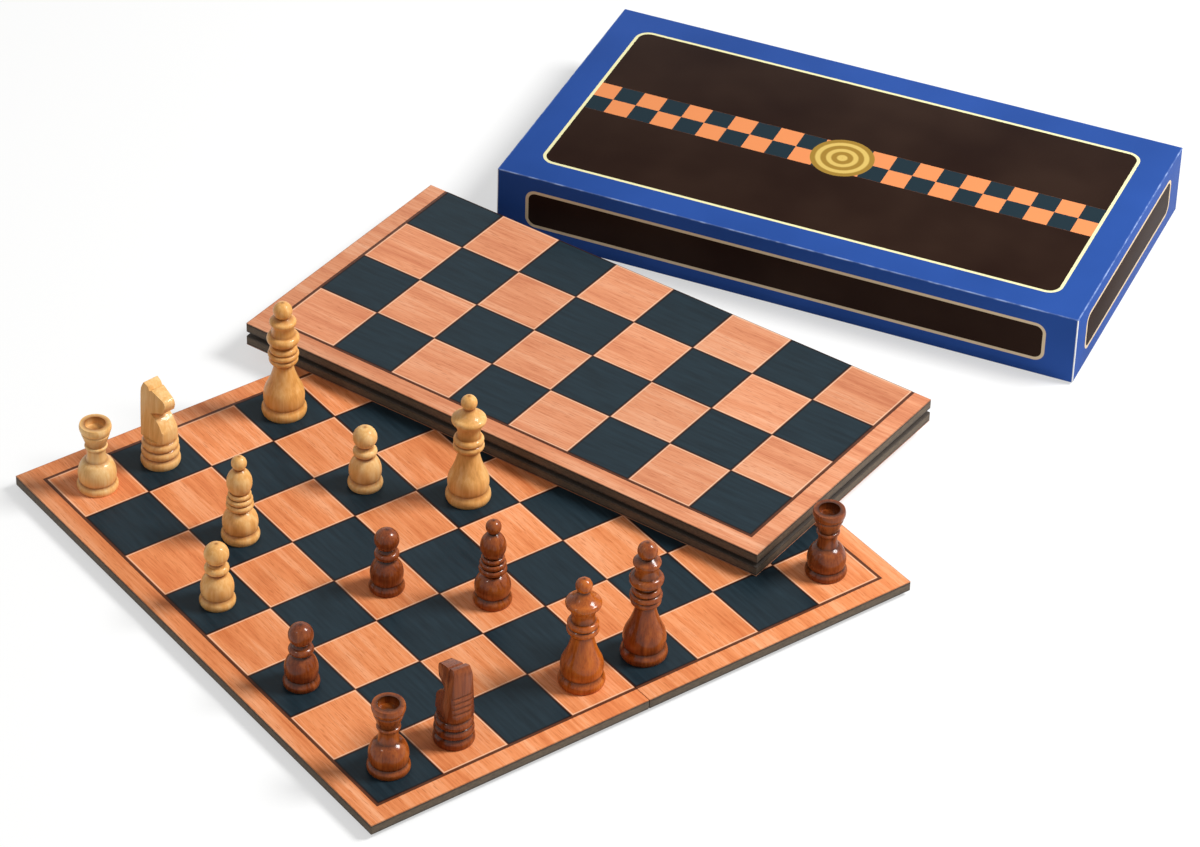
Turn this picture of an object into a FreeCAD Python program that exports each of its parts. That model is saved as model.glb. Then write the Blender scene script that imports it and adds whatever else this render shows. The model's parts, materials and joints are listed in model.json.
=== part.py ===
import FreeCAD, Part
import math
import os
import Sketcher

# Folding chess board shown open and folded, thirty-two turned men and a card storage box.
# Lengths are in millimetres and angles in degrees. The frame stands on the table plane,
# with its origin under the middle of the box, +X along the box and +Z up.

SIZES = {
    # Playing field and leaves
    "square_width": 36.0,
    "border": 11.0,
    "core_thickness": 5.0,
    "face_thickness": 0.4,
    "seam_clearance": 0.3,
    # Feet, which nest in the gap between the undersides of a folded board
    "foot_height": 2.35,
    "foot_clearance": 0.05,
    "foot_radius": 4.5,
    "foot_seam_inset": 24.0,
    "foot_edge_inset": 18.0,
    "foot_end_inset": 20.0,
    "foot_stagger": 16.0,
    # Butt hinges under the seam
    "hinge_length": 30.0,
    "hinge_offset": 92.0,
    "hinge_width": 14.0,
    "hinge_plate": 0.8,
    "barrel_gap": 0.1,
    "barrel_clearance": 0.3,
    "knuckle_clearance": 0.2,
    "pin_radius": 0.55,
    "pin_clearance": 0.05,
    # Hinge screws
    "screw_head_radius": 1.8,
    "screw_head_height": 0.45,
    "screw_shank_radius": 0.8,
    "screw_length": 3.6,
    "screw_clearance": 0.05,
    "screw_spacing": 20.0,
    "screw_inset": 5.5,
    # Storage box of folded card
    "card": 1.5,
    "stay_thickness": 0.2,
    "stay_leg": 16.0,
    "end_room": 0.75,
    "side_room": 4.5,
    "top_room": 0.8,
    "lid_clearance": 0.4,
    "lid_lip_gap": 1.0,
    # Card dividers that carry the board over the men
    "men_room": 23.0,
    "divider_card": 1.2,
    "divider_clearance": 0.2,
    # Turned men: base diameters and heights
    "pawn_base": 17.0,
    "pawn_height": 35.0,
    "rook_base": 20.0,
    "rook_height": 38.0,
    "knight_base": 19.4,
    "knight_height": 46.0,
    "knight_blank": 18.4,
    # Width between the knight's cheeks at the two ends of their slope
    "knight_nape": 20.0,
    "knight_nose": 1.2,
    "bishop_base": 18.4,
    "bishop_height": 48.0,
    "queen_base": 22.0,
    "queen_height": 61.0,
    "king_base": 22.2,
    "king_height": 66.0,
    # Gap between men stored side by side, and under a man that lies down
    "store_gap": 3.0,
    "lie_gap": 0.3,
}

SQUARES_PER_SIDE = 8
SQUARES_PER_LEAF = SQUARES_PER_SIDE // 2
HALF_TURN = 180.0
QUARTER_TURN = 90.0
OPEN_BOARD_TURN = 59.0
FOLDED_BOARD_TURN = 77.7
LIGHT_KNIGHT_TURN = -84.0
DARK_KNIGHT_TURN = 87.0
CHEEK_TILT = 51.0
HALF_SHARE = 0.5

# Where the boards lie beside the box, counted in squares from the middle of the box
OPEN_BOARD_SHARES = (-1.945, -9.195)
FOLDED_BOARD_SHARES = (-1.233, -3.361)

# Each outline step is (radius share, height share) for a line, or a middle point and an
# end point for an arc. Radii are shares of the base diameter's half. A round top is a ball
# whose centre is on the axis, so its end point alone sets it.
ROUND_TOP = None
PAWN_SHARES = [
    [(0.97, 0.0)], [(1.03, 0.05), (0.97, 0.10)], [(0.86, 0.145)],
    [(0.95, 0.29), (0.52, 0.505)], [(0.50, 0.53)],
    [(0.71, 0.59), (0.50, 0.65)], [(0.42, 0.69)], [ROUND_TOP, (0.0, 1.0)],
]
ROOK_SHARES = [
    [(0.97, 0.0)], [(1.02, 0.045), (0.97, 0.09)], [(0.88, 0.12)],
    [(0.95, 0.22), (0.70, 0.41)], [(0.52, 0.435)], [(0.46, 0.53), (0.48, 0.63)],
    [(0.57, 0.655), (0.49, 0.68)], [(0.70, 0.85)], [(0.67, 0.87)],
    [(0.79, 0.935), (0.75, 1.0)], [(0.51, 1.0)], [(0.49, 0.90)], [(0.0, 0.90)],
]
KNIGHT_SHARES = [
    [(0.97, 0.0)], [(1.02, 0.043), (0.97, 0.085)], [(0.86, 0.112)],
    [(0.98, 0.165), (0.84, 0.218)], [(0.94, 0.266), (0.82, 0.314)], [(0.84, 0.357)], [(0.0, 0.357)],
]
BISHOP_SHARES = [
    [(0.97, 0.0)], [(1.03, 0.04), (0.97, 0.08)], [(0.86, 0.11)],
    [(0.95, 0.21), (0.46, 0.355)], [(0.46, 0.375)], [(0.74, 0.41), (0.56, 0.445)],
    [(0.70, 0.475), (0.52, 0.51)], [(0.62, 0.54), (0.48, 0.57)],
    [(0.68, 0.70), (0.26, 0.845)], [(0.26, 0.86)], [ROUND_TOP, (0.0, 1.0)],
]
QUEEN_SHARES = [
    [(0.97, 0.0)], [(1.02, 0.035), (0.97, 0.07)], [(0.88, 0.10)],
    [(0.93, 0.18), (0.80, 0.26)], [(0.56, 0.38), (0.47, 0.47)], [(0.49, 0.49)],
    [(0.70, 0.52), (0.60, 0.55)], [(0.68, 0.58), (0.52, 0.61)], [(0.50, 0.65)],
    [(0.56, 0.70), (0.70, 0.745)], [(0.78, 0.77), (0.68, 0.80)],
    [(0.44, 0.83), (0.24, 0.885)], [ROUND_TOP, (0.0, 1.0)],
]
KING_SHARES = [
    [(0.97, 0.0)], [(1.02, 0.033), (0.97, 0.066)], [(0.88, 0.09)],
    [(0.93, 0.17), (0.80, 0.25)], [(0.54, 0.36), (0.42, 0.45)], [(0.44, 0.465)],
    [(0.66, 0.49), (0.58, 0.515)], [(0.70, 0.54), (0.58, 0.565)],
    [(0.62, 0.59), (0.48, 0.612)], [(0.48, 0.64)], [(0.74, 0.68), (0.54, 0.72)],
    [(0.50, 0.76), (0.58, 0.815)], [(0.60, 0.835), (0.52, 0.85)],
    [(0.30, 0.875)], [ROUND_TOP, (0.0, 1.0)],
]
# Knight's head seen from its side: forward share of the base, height share
KNIGHT_HEAD_SHARES = [
    [(-0.88, 0.357)], [(-0.78, 0.93)], [(-0.64, 1.0)], [(-0.31, 0.978)], [(-0.22, 0.935)],
    [(-0.06, 0.952)], [(0.66, 0.90)], [(0.866, 0.866), (0.856, 0.80)], [(0.74, 0.738)],
    [(0.38, 0.716)], [(-0.06, 0.668)], [(0.5, 0.598), (0.89, 0.46)], [(0.85, 0.357)],
]

# Saw cuts of the mane across the back of the knight's neck
MANE_CUT_SHARES = (0.45, 0.518, 0.586, 0.654)
MANE_HALF_SHARE = 0.02
MANE_DEPTH_SHARE = 0.1

# Men in play and the square that each stands on, with a1 at the near corner
FILES = "abcdefgh"
MEN_ON_BOARD = [
    ("light_rook", "rook", "a8"),
    ("light_knight", "knight", "b8"),
    ("light_bishop", "bishop", "b6"),
    ("light_king", "king", "d8"),
    ("light_queen", "queen", "e5"),
    ("light_pawn_front", "pawn", "a5"),
    ("light_pawn_back", "pawn", "d6"),
    ("dark_rook_near", "rook", "a1"),
    ("dark_rook_right", "rook", "h1"),
    ("dark_knight", "knight", "b1"),
    ("dark_bishop", "bishop", "d3"),
    ("dark_queen", "queen", "d1"),
    ("dark_king", "king", "e1"),
    ("dark_pawn_front", "pawn", "a3"),
    ("dark_pawn_back", "pawn", "c4"),
]
KNIGHT_TURNS = {"light_knight": LIGHT_KNIGHT_TURN, "dark_knight": DARK_KNIGHT_TURN}

# Men kept in the box, with the column and row of their compartment and their seat in it
MEN_IN_BOX = [
    ("stored_light_pawns", "pawn", "left", "front", "all"),
    ("stored_light_rook", "rook", "middle", "front", "first"),
    ("stored_light_knight", "knight", "middle", "front", "second"),
    ("stored_light_bishop", "bishop", "middle", "front", "third"),
    ("stored_dark_pawns", "pawn", "left", "back", "all"),
    ("stored_dark_knight", "knight", "middle", "back", "second"),
    ("stored_dark_bishop", "bishop", "middle", "back", "third"),
]
COLUMN_SHARES = {"left": -1, "middle": 0}
ROW_SHARES = {"front": -0.5, "back": 0.5}
SEAT_SHARES = {"first": -1, "second": 0, "third": 1}
END_SHARES = (-0.5, 0.5)
BOX_COLUMNS = 3

# The widest ring of a man stands a little outside its base's half width
LYING_SHARE = 1.03

doc = FreeCAD.newDocument("chess_set")
sheet = doc.addObject("Spreadsheet::Sheet", "Sizes")
for row_number, (alias, number) in enumerate(SIZES.items(), start=1):
    sheet.set(f"A{row_number}", alias)
    sheet.set(f"B{row_number}", str(number))
    sheet.setAlias(f"B{row_number}", alias)
doc.recompute()

parts = []


def size(alias):
    """Return one driving dimension from the sheet."""
    return float(sheet.get(alias))


def cells(expression):
    """Write an expression in aliases as one that names the sheet's cells."""
    words = expression.replace("(", " ( ").replace(")", " ) ").split()
    return " ".join(f"Sizes.{word}" if word in SIZES else word for word in words)


def measure(expression):
    """Return the number that an expression in aliases has now."""
    probe = sheet.evalExpression(cells(expression).replace("Sizes.", ""))
    return float(getattr(probe, "Value", probe))


# Sizes that several pieces share, as expressions in the sheet's own names
LEAF_WIDTH = f"( {SQUARES_PER_LEAF} * square_width + border )"
BOARD_LENGTH = f"( {SQUARES_PER_SIDE} * square_width + 2 * border )"
UNDERSIDE = "( ( foot_height + foot_clearance ) / 2 )"
BARREL = f"( {UNDERSIDE} - barrel_gap )"
LEAF_TOP = f"( {UNDERSIDE} + core_thickness + face_thickness )"
SEAM_EDGE = "( seam_clearance / 2 )"
PLATE_EDGE = f"( {BARREL} + barrel_clearance )"
BASE_INNER_LENGTH = f"( {BOARD_LENGTH} + 2 * end_room )"
BASE_INNER_WIDTH = f"( {LEAF_WIDTH} + 2 * side_room )"
STACK_HEIGHT = f"( 2 * {LEAF_TOP} )"
INNER_HEIGHT = f"( men_room + {STACK_HEIGHT} + top_room )"
BASE_HEIGHT = f"( card + {INNER_HEIGHT} )"
BASE_LENGTH = f"( {BASE_INNER_LENGTH} + 2 * card )"
BASE_WIDTH = f"( {BASE_INNER_WIDTH} + 2 * card )"
LID_INNER_LENGTH = f"( {BASE_LENGTH} + 2 * lid_clearance )"
LID_INNER_WIDTH = f"( {BASE_WIDTH} + 2 * lid_clearance )"
LID_LENGTH = f"( {LID_INNER_LENGTH} + 2 * card )"
LID_WIDTH = f"( {LID_INNER_WIDTH} + 2 * card )"


def bind(item, **expressions):
    """Bind properties of an object to expressions in the sheet's names."""
    for name, expression in expressions.items():
        item.setExpression(name.replace("__", "."), cells(expression))
    return item


def box(name, length, width, height, x, y, z):
    """Make a block from its three sizes and the place of its lowest corner."""
    block = doc.addObject("Part::Box", name)
    bind(block, Length=length, Width=width, Height=height)
    return bind(block, Placement__Base__x=x, Placement__Base__y=y, Placement__Base__z=z)


def drum(name, radius, height, x, y, z):
    """Make an upright cylinder from its sizes and the centre of its lower end."""
    cylinder = bind(doc.addObject("Part::Cylinder", name), Radius=radius, Height=height)
    return bind(cylinder, Placement__Base__x=x, Placement__Base__y=y, Placement__Base__z=z)


def rod(name, radius, length, y):
    """Make a cylinder along the hinge axis from its radius, length and first end."""
    cylinder = bind(doc.addObject("Part::Cylinder", name), Radius=radius, Height=length)
    cylinder.Placement.Rotation = FreeCAD.Rotation(FreeCAD.Vector(1, 0, 0), -QUARTER_TURN)
    return bind(cylinder, Placement__Base__y=y)


def fuse(name, pieces):
    """Join solids into one."""
    joined = doc.addObject("Part::MultiFuse", name)
    joined.Shapes = pieces
    return joined


def cut(name, base, tools):
    """Cut a group of tools out of a solid."""
    tool = tools[0] if len(tools) == 1 else group(f"{name}_tools", tools)
    result = doc.addObject("Part::Cut", name)
    result.Base = base
    result.Tool = tool
    return result


def group(name, pieces):
    """Keep separate solids together in one object."""
    compound = doc.addObject("Part::Compound", name)
    compound.Links = pieces
    return compound


def place(label, master, placement):
    """Put a copy of a master piece in the part and list it as a sub-part."""
    copy = group(label, [master])
    copy.Label = label
    copy.Placement = placement
    parts.append(copy)
    return copy


def keep(label, item):
    """List a piece that is already in its place as a sub-part."""
    item.Label = label
    parts.append(item)
    return item


def turned(angle, x=0.0, y=0.0, z=0.0, axis=(0, 0, 1)):
    """Return a placement from a turn about an axis and a place."""
    rotation = FreeCAD.Rotation(FreeCAD.Vector(*axis), angle)
    return FreeCAD.Placement(FreeCAD.Vector(x, y, z), rotation)


def plane(body, role):
    """Return one of a body's own origin planes."""
    return next(item for item in body.Origin.OriginFeatures if item.Role == role)


def arc_through(first, middle, last):
    """Return the arc through three points and whether it runs from first to last."""
    circle = Part.Circle(*(FreeCAD.Vector(*point, 0) for point in (first, middle, last)))
    centre = circle.Center
    start, halfway, stop = (
        math.atan2(point[1] - centre.y, point[0] - centre.x) for point in (first, middle, last)
    )
    full = 2 * math.pi
    forward = (halfway - start) % full < (stop - start) % full
    ends = (start, stop) if forward else (stop, start)
    upright = Part.Circle(centre, FreeCAD.Vector(0, 0, 1), circle.Radius)
    return Part.ArcOfCircle(upright, *ends), forward


def ball_side(first, top):
    """Return the widest point of the ball through a point and its top on the axis."""
    rise = top[1] - first[1]
    radius = (first[0] ** 2 + rise ** 2) / (2 * rise)
    return (radius, top[1] - radius)


def draw_outline(sketch, start, steps, base, height):
    """Draw a closed outline whose points are shares of a half base and a height.

    Args:
        sketch: the sketch that takes the outline.
        start: first point, as shares.
        steps: lines and arcs in turn, as shares.
        base: alias of the width that the first share follows, taken by half.
        height: alias of the height that the second share follows.
    """
    def spot(point):
        return (point[0] * size(base) / 2, point[1] * size(height))

    def hold(geometry, end, point):
        if point[0] == 0:
            sketch.addConstraint(Sketcher.Constraint("PointOnObject", geometry, end, -2))
        else:
            x_rule = Sketcher.Constraint("DistanceX", -1, 1, geometry, end, spot(point)[0])
            number = sketch.addConstraint(x_rule)
            sketch.setExpression(f"Constraints[{number}]", cells(f"{point[0]} * {base} / 2"))
        if point[1] == 0:
            sketch.addConstraint(Sketcher.Constraint("PointOnObject", geometry, end, -1))
        else:
            y_rule = Sketcher.Constraint("DistanceY", -1, 1, geometry, end, spot(point)[1])
            number = sketch.addConstraint(y_rule)
            sketch.setExpression(f"Constraints[{number}]", cells(f"{point[1]} * {height}"))

    ends = []
    here = start
    for step in steps + [[start]]:
        there = step[-1]
        if len(step) == 1:
            line = Part.LineSegment(FreeCAD.Vector(*spot(here), 0), FreeCAD.Vector(*spot(there), 0))
            ends.append((sketch.addGeometry(line, False), 1, 2))
        else:
            is_ball = step[0] is ROUND_TOP
            bulge = ball_side(spot(here), spot(there)) if is_ball else spot(step[0])
            arc, forward = arc_through(spot(here), bulge, spot(there))
            geometry = sketch.addGeometry(arc, False)
            ends.append((geometry, 1, 2) if forward else (geometry, 2, 1))
            if is_ball:
                sketch.addConstraint(Sketcher.Constraint("PointOnObject", geometry, 3, -2))
            else:
                middle = sketch.addGeometry(Part.Point(FreeCAD.Vector(*bulge, 0)), True)
                hold(middle, 1, step[0])
                sketch.addConstraint(Sketcher.Constraint("PointOnObject", middle, 1, geometry))
        hold(ends[-1][0], ends[-1][1], here)
        here = there
    for (one, _, one_end), (two, two_start, _) in zip(ends, ends[1:] + ends[:1]):
        sketch.addConstraint(Sketcher.Constraint("Coincident", one, one_end, two, two_start))


def profile_sketch(body, name):
    """Add a sketch on the body's upright plane."""
    sketch = body.newObject("Sketcher::SketchObject", name)
    sketch.AttachmentSupport = [(plane(body, "XZ_Plane"), "")]
    sketch.MapMode = "FlatFace"
    return sketch


def turned_body(name, shares):
    """Turn a man, or a knight's foot, from its half outline."""
    body = doc.addObject("PartDesign::Body", f"{name}_turning")
    sketch = profile_sketch(body, f"{name}_outline")
    draw_outline(sketch, (0.0, 0.0), shares, f"{name}_base", f"{name}_height")
    revolution = body.newObject("PartDesign::Revolution", f"{name}_revolution")
    revolution.Profile = sketch
    revolution.ReferenceAxis = (sketch, ["V_Axis"])
    revolution.Angle = 2 * HALF_TURN
    body.Tip = revolution
    return body


def cheek_wedge():
    """Make the wedge between the knight's cheeks, narrowing up and forward."""
    wedge = doc.addObject("Part::Wedge", "knight_cheeks")
    bind(wedge, Xmin="- knight_height", Xmax="knight_base", X2min="- knight_height", X2max="knight_base")
    bind(wedge, Ymin="- knight_base / 2", Ymax="knight_height")
    bind(wedge, Zmin="- knight_nape / 2", Zmax="knight_nape / 2")
    bind(wedge, Z2min="- knight_nose / 2", Z2max="knight_nose / 2")
    wedge.Placement = turned(CHEEK_TILT, axis=(0, 1, 0)) * turned(QUARTER_TURN, axis=(1, 0, 0))
    return wedge


def common(name, base, tool):
    """Keep what two solids have in common."""
    result = doc.addObject("Part::Common", name)
    result.Base = base
    result.Tool = tool
    return result


def mane_steps():
    """Return the steps up the back of the knight's neck, with the saw cuts of its mane."""
    (low_x, low), (high_x, high) = (step[0] for step in KNIGHT_HEAD_SHARES[:2])
    slope = (high_x - low_x) / (high - low)
    steps = []
    for height in MANE_CUT_SHARES:
        for rise, depth in ((-MANE_HALF_SHARE, 0.0), (0.0, MANE_DEPTH_SHARE), (MANE_HALF_SHARE, 0.0)):
            level = height + rise
            steps.append([(low_x + slope * (level - low) + depth, level)])
    return steps


def knight_body():
    """Join the knight's turned foot with a head sawn from a round blank."""
    foot = turned_body("knight", KNIGHT_SHARES)
    head = doc.addObject("PartDesign::Body", "knight_head")
    sketch = profile_sketch(head, "knight_head_outline")
    first, *steps = KNIGHT_HEAD_SHARES
    draw_outline(sketch, first[0], mane_steps() + steps, "knight_base", "knight_height")
    pad = head.newObject("PartDesign::Pad", "knight_head_pad")
    pad.Profile = sketch
    pad.Midplane = True
    bind(pad, Length="knight_blank")
    head.Tip = pad
    blank = drum("knight_blank", "knight_blank / 2", "knight_height", "0", "0", "0")
    sawn = common("knight_sawn_head", head, blank)
    return fuse("knight_whole", [foot, common("knight_carved_head", sawn, cheek_wedge())])


def build_men():
    """Make one master of each kind of man."""
    outlines = {
        "pawn": PAWN_SHARES, "rook": ROOK_SHARES, "bishop": BISHOP_SHARES,
        "queen": QUEEN_SHARES, "king": KING_SHARES,
    }
    men = {name: turned_body(name, shares) for name, shares in outlines.items()}
    men["knight"] = knight_body()
    return men


def screw_places():
    """Return the hinge screws' places on a leaf as pairs of expressions."""
    return [
        (f"( {PLATE_EDGE} + screw_inset )", f"( {side} * hinge_offset + {end} * screw_spacing / 2 )")
        for side in (-1, 1) for end in (-1, 1)
    ]


def leaf_core():
    """Make the board of one leaf, drilled for its hinge screws."""
    width = f"( {LEAF_WIDTH} - {SEAM_EDGE} )"
    slab = box("core_slab", width, BOARD_LENGTH, "core_thickness",
               SEAM_EDGE, f"- {BOARD_LENGTH} / 2", UNDERSIDE)
    holes = [
        drum("core_pilot", "screw_shank_radius + screw_clearance", "screw_length", x, y, "0")
        for x, y in screw_places()
    ]
    return cut("core_drilled", slab, holes)


def leaf_face():
    """Make the printed sheet on top of one leaf."""
    width = f"( {LEAF_WIDTH} - {SEAM_EDGE} )"
    return box("face_sheet", width, BOARD_LENGTH, "face_thickness",
               SEAM_EDGE, f"- {BOARD_LENGTH} / 2", f"{UNDERSIDE} + core_thickness")


def leaf_feet():
    """Make the four feet under one leaf, staggered so that two folded leaves nest."""
    columns = ("foot_seam_inset", f"( {LEAF_WIDTH} - foot_edge_inset )")
    rows = (
        f"( {BOARD_LENGTH} / 2 - foot_end_inset )",
        f"( foot_end_inset + foot_stagger - {BOARD_LENGTH} / 2 )",
    )
    feet = [
        drum("foot", "foot_radius", "foot_height", x, y, f"{UNDERSIDE} - foot_height")
        for x in columns for y in rows
    ]
    return group("leaf_feet", feet)


def knuckle_spans(outer):
    """Return the start and length of each knuckle along one hinge, from its middle."""
    third = "hinge_length / 3"
    clear = "knuckle_clearance"
    if outer:
        return [
            ("( - hinge_length / 2 )", f"( {third} - {clear} / 2 )"),
            (f"( hinge_length / 6 + {clear} / 2 )", f"( {third} - {clear} / 2 )"),
        ]
    return [(f"( - hinge_length / 6 + {clear} / 2 )", f"( {third} - {clear} )")]


def hinge_plates(name, outer):
    """Make a leaf's two hinge plates, rolled into knuckles round the pin."""
    plates = []
    for side in (-1, 1):
        middle = f"{side} * hinge_offset"
        plate = box(f"{name}_plate", f"hinge_width - {PLATE_EDGE}", "hinge_length", "hinge_plate",
                    PLATE_EDGE, f"{middle} - hinge_length / 2", f"{UNDERSIDE} - hinge_plate")
        solids = [plate]
        for start, length in knuckle_spans(outer):
            begin = f"{middle} + {start}"
            solids.append(rod(f"{name}_knuckle", BARREL, length, begin))
            solids.append(box(f"{name}_tongue", "hinge_width / 2", length, "hinge_plate",
                              "0", begin, f"{UNDERSIDE} - hinge_plate"))
        bore = rod(f"{name}_bore", "pin_radius + pin_clearance", "2 * hinge_length",
                   f"{middle} - hinge_length")
        holes = [bore]
        for x, y in screw_places():
            holes.append(drum(f"{name}_hole", "screw_shank_radius + screw_clearance",
                              UNDERSIDE, x, y, "0"))
            holes.append(drum(f"{name}_seat", "screw_head_radius + screw_clearance",
                              f"{UNDERSIDE} - hinge_plate + screw_head_height", x, y, "0"))
        plates.append(cut(f"{name}_finished", fuse(f"{name}_rolled", solids), holes))
    return group(f"{name}_pair", plates)


def hinge_screws():
    """Make the four screws that hold one leaf's hinge plates."""
    screws = []
    for x, y in screw_places():
        under = f"( {UNDERSIDE} - hinge_plate )"
        head = drum("screw_head", "screw_head_radius", "screw_head_height", x, y, under)
        shank = drum("screw_shank", "screw_shank_radius", f"screw_length - {under}", x, y, under)
        screws.append(fuse("screw", [head, shank]))
    return group("leaf_screws", screws)


def hinge_pins():
    """Make the two pins of one board's hinges."""
    return group("board_pins", [
        rod("hinge_pin", "pin_radius", "hinge_length", f"{side} * hinge_offset - hinge_length / 2")
        for side in (-1, 1)
    ])


def build_boards():
    """Place both boards: one open under the men and one folded on top of it."""
    core = leaf_core()
    face = leaf_face()
    feet = leaf_feet()
    screws = hinge_screws()
    pins = hinge_pins()
    inner_plates = hinge_plates("inner_hinge", outer=False)
    outer_plates = hinge_plates("outer_hinge", outer=True)
    axis_height = size("foot_height") - measure(UNDERSIDE)
    leaf_top = measure(LEAF_TOP)
    open_x, open_y = (share * size("square_width") for share in OPEN_BOARD_SHARES)
    folded_x, folded_y = (share * size("square_width") for share in FOLDED_BOARD_SHARES)
    opened = turned(OPEN_BOARD_TURN, open_x, open_y, axis_height)
    folded = turned(FOLDED_BOARD_TURN, folded_x, folded_y, axis_height + 2 * leaf_top)
    turned_about = turned(HALF_TURN)
    turned_over = turned(HALF_TURN, axis=(0, 1, 0))
    leaves = [
        ("open_right", opened, inner_plates),
        ("open_left", opened * turned_about, outer_plates),
        ("folded_lower", folded * turned_over, inner_plates),
        ("folded_upper", folded * turned_about, outer_plates),
    ]
    for leaf, placement, plates in leaves:
        place(f"{leaf}_core", core, placement)
        place(f"{leaf}_face", face, placement)
        place(f"{leaf}_feet", feet, placement)
        place(f"{leaf}_hinge_plates", plates, placement)
        place(f"{leaf}_hinge_screws", screws, placement)
    place("open_hinge_pins", pins, opened)
    place("folded_hinge_pins", pins, folded)
    return opened * turned(0.0, z=leaf_top)


def stand_men(men, board_top):
    """Stand the men in play on the middles of their squares."""
    half = SQUARES_PER_SIDE / 2
    for label, kind, square in MEN_ON_BOARD:
        file = FILES.index(square[0]) + HALF_SHARE
        rank = int(square[1]) - HALF_SHARE
        x = (file - half) * size("square_width")
        y = (rank - half) * size("square_width")
        place(label, men[kind], board_top * turned(KNIGHT_TURNS.get(label, 0.0), x, y))


def shell(name, length, width, height, wall_bottom,
          inner_length, inner_width, hollow_bottom, hollow_height):
    """Make an open card tray or lid, centred on the box."""
    body = box(f"{name}_block", length, width, height,
               f"- {length} / 2", f"- {width} / 2", wall_bottom)
    hollow = box(f"{name}_hollow", inner_length, inner_width, hollow_height,
                 f"- {inner_length} / 2", f"- {inner_width} / 2", hollow_bottom)
    return cut(f"{name}_shell", body, [hollow])


def corner_stays(name, inner_length, inner_width, bottom, height):
    """Make the four angled paper stays glued inside a tray's corners."""
    stays = []
    for x_side in (-1, 1):
        for y_side in (-1, 1):
            legs = []
            for along_x in (True, False):
                length = "stay_leg" if along_x else "stay_thickness"
                width = "stay_thickness" if along_x else "stay_leg"
                x = f"- {inner_length} / 2" if x_side < 0 else f"{inner_length} / 2 - {length}"
                y = f"- {inner_width} / 2" if y_side < 0 else f"{inner_width} / 2 - {width}"
                legs.append(box(f"{name}_leg", length, width, height, x, y, bottom))
            stays.append(fuse(f"{name}_stay", legs))
    return group(name, stays)


def build_box():
    """Make the storage box: tray, lid and their corner stays."""
    lid_height = f"( {BASE_HEIGHT} + card - lid_lip_gap )"
    keep("box_base", shell("base", BASE_LENGTH, BASE_WIDTH, BASE_HEIGHT, "0",
                           BASE_INNER_LENGTH, BASE_INNER_WIDTH, "card", BASE_HEIGHT))
    keep("box_lid", shell("lid", LID_LENGTH, LID_WIDTH, lid_height, "lid_lip_gap",
                          LID_INNER_LENGTH, LID_INNER_WIDTH, "0", BASE_HEIGHT))
    keep("base_corner_stays", corner_stays("base_stays", BASE_INNER_LENGTH, BASE_INNER_WIDTH,
                                           "card", INNER_HEIGHT))
    keep("lid_corner_stays", corner_stays("lid_stays", LID_INNER_LENGTH, LID_INNER_WIDTH,
                                          "lid_lip_gap", f"{BASE_HEIGHT} - lid_lip_gap"))


def build_dividers():
    """Make the slotted card strips that part the men and carry the folded board."""
    slot = "( divider_card + divider_clearance )"
    half_height = "( men_room / 2 )"
    long_length = f"( {BASE_INNER_LENGTH} - 2 * stay_thickness - 2 * divider_clearance )"
    cross_length = f"( {BASE_INNER_WIDTH} - 2 * stay_thickness - 2 * divider_clearance )"
    places = [f"( {side} * {BASE_INNER_LENGTH} / {2 * BOX_COLUMNS} )" for side in (-1, 1)]
    strip = box("long_strip", long_length, "divider_card", "men_room",
                f"- {long_length} / 2", "- divider_card / 2", "card")
    long_slots = [
        box("long_slot", slot, slot, half_height, f"{x} - {slot} / 2", f"- {slot} / 2",
            f"card + {half_height}")
        for x in places
    ]
    keep("divider_long", cut("long_divider", strip, long_slots))
    crosses = []
    for x in places:
        cross = box("cross_strip", "divider_card", cross_length, "men_room",
                    f"{x} - divider_card / 2", f"- {cross_length} / 2", "card")
        slot_height = f"{half_height} + divider_clearance / 2"
        crossing = box("cross_slot", slot, slot, slot_height, f"{x} - {slot} / 2",
                       f"- {slot} / 2", "card")
        crosses.append(cut("cross_divider", cross, [crossing]))
    keep("dividers_cross", group("cross_dividers", crosses))


def store_men(men):
    """Lay the rest of the men in the box's compartments."""
    column_step = measure(BASE_INNER_LENGTH) / BOX_COLUMNS
    row_step = measure(BASE_INNER_WIDTH) / 2
    widest = size("rook_base") * LYING_SHARE
    for label, kind, column, row, seat in MEN_IN_BOX:
        tall = size(f"{kind}_height")
        height = size("card") + size("lie_gap") + size(f"{kind}_base") / 2 * LYING_SHARE
        seats = SEAT_SHARES.values() if seat == "all" else [SEAT_SHARES[seat]]
        ends = END_SHARES if seat == "all" else [0.0]
        lying = []
        for across in seats:
            for end in ends:
                x = COLUMN_SHARES[column] * column_step + end * (tall + size("lie_gap")) - tall / 2
                y = ROW_SHARES[row] * row_step + across * (widest + size("store_gap"))
                man = group(f"{label}_man", [men[kind]])
                man.Placement = turned(QUARTER_TURN, x, y, height, axis=(0, 1, 0))
                lying.append(man)
        keep(label, group(label, lying))


def export_parts():
    """Check every object and shape, then write each sub-part to its own file."""
    doc.recompute()
    for item in doc.Objects:
        if "Invalid" in item.State or "Error" in item.State:
            raise RuntimeError(f"{item.Label} failed: {item.State}")
    for item in parts:
        if item.Shape.isNull() or not item.Shape.isValid() or not item.Shape.Solids:
            raise RuntimeError(f"{item.Label} has no valid solid")
    os.makedirs("parts", exist_ok=True)
    for item in parts:
        item.Shape.exportStep(f"parts/{item.Label}.step")
        print(f"{item.Label}: {len(item.Shape.Solids)} solids, {item.Shape.Volume:.1f} mm3")


turned_men = build_men()
stand_men(turned_men, build_boards())
build_box()
build_dividers()
store_men(turned_men)
export_parts()
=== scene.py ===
import json
import logging
import math
from collections.abc import Sequence
from dataclasses import dataclass, field, replace
from enum import Enum
from typing import Any

import bmesh
import bpy
from mathutils import Matrix, Vector

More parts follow.
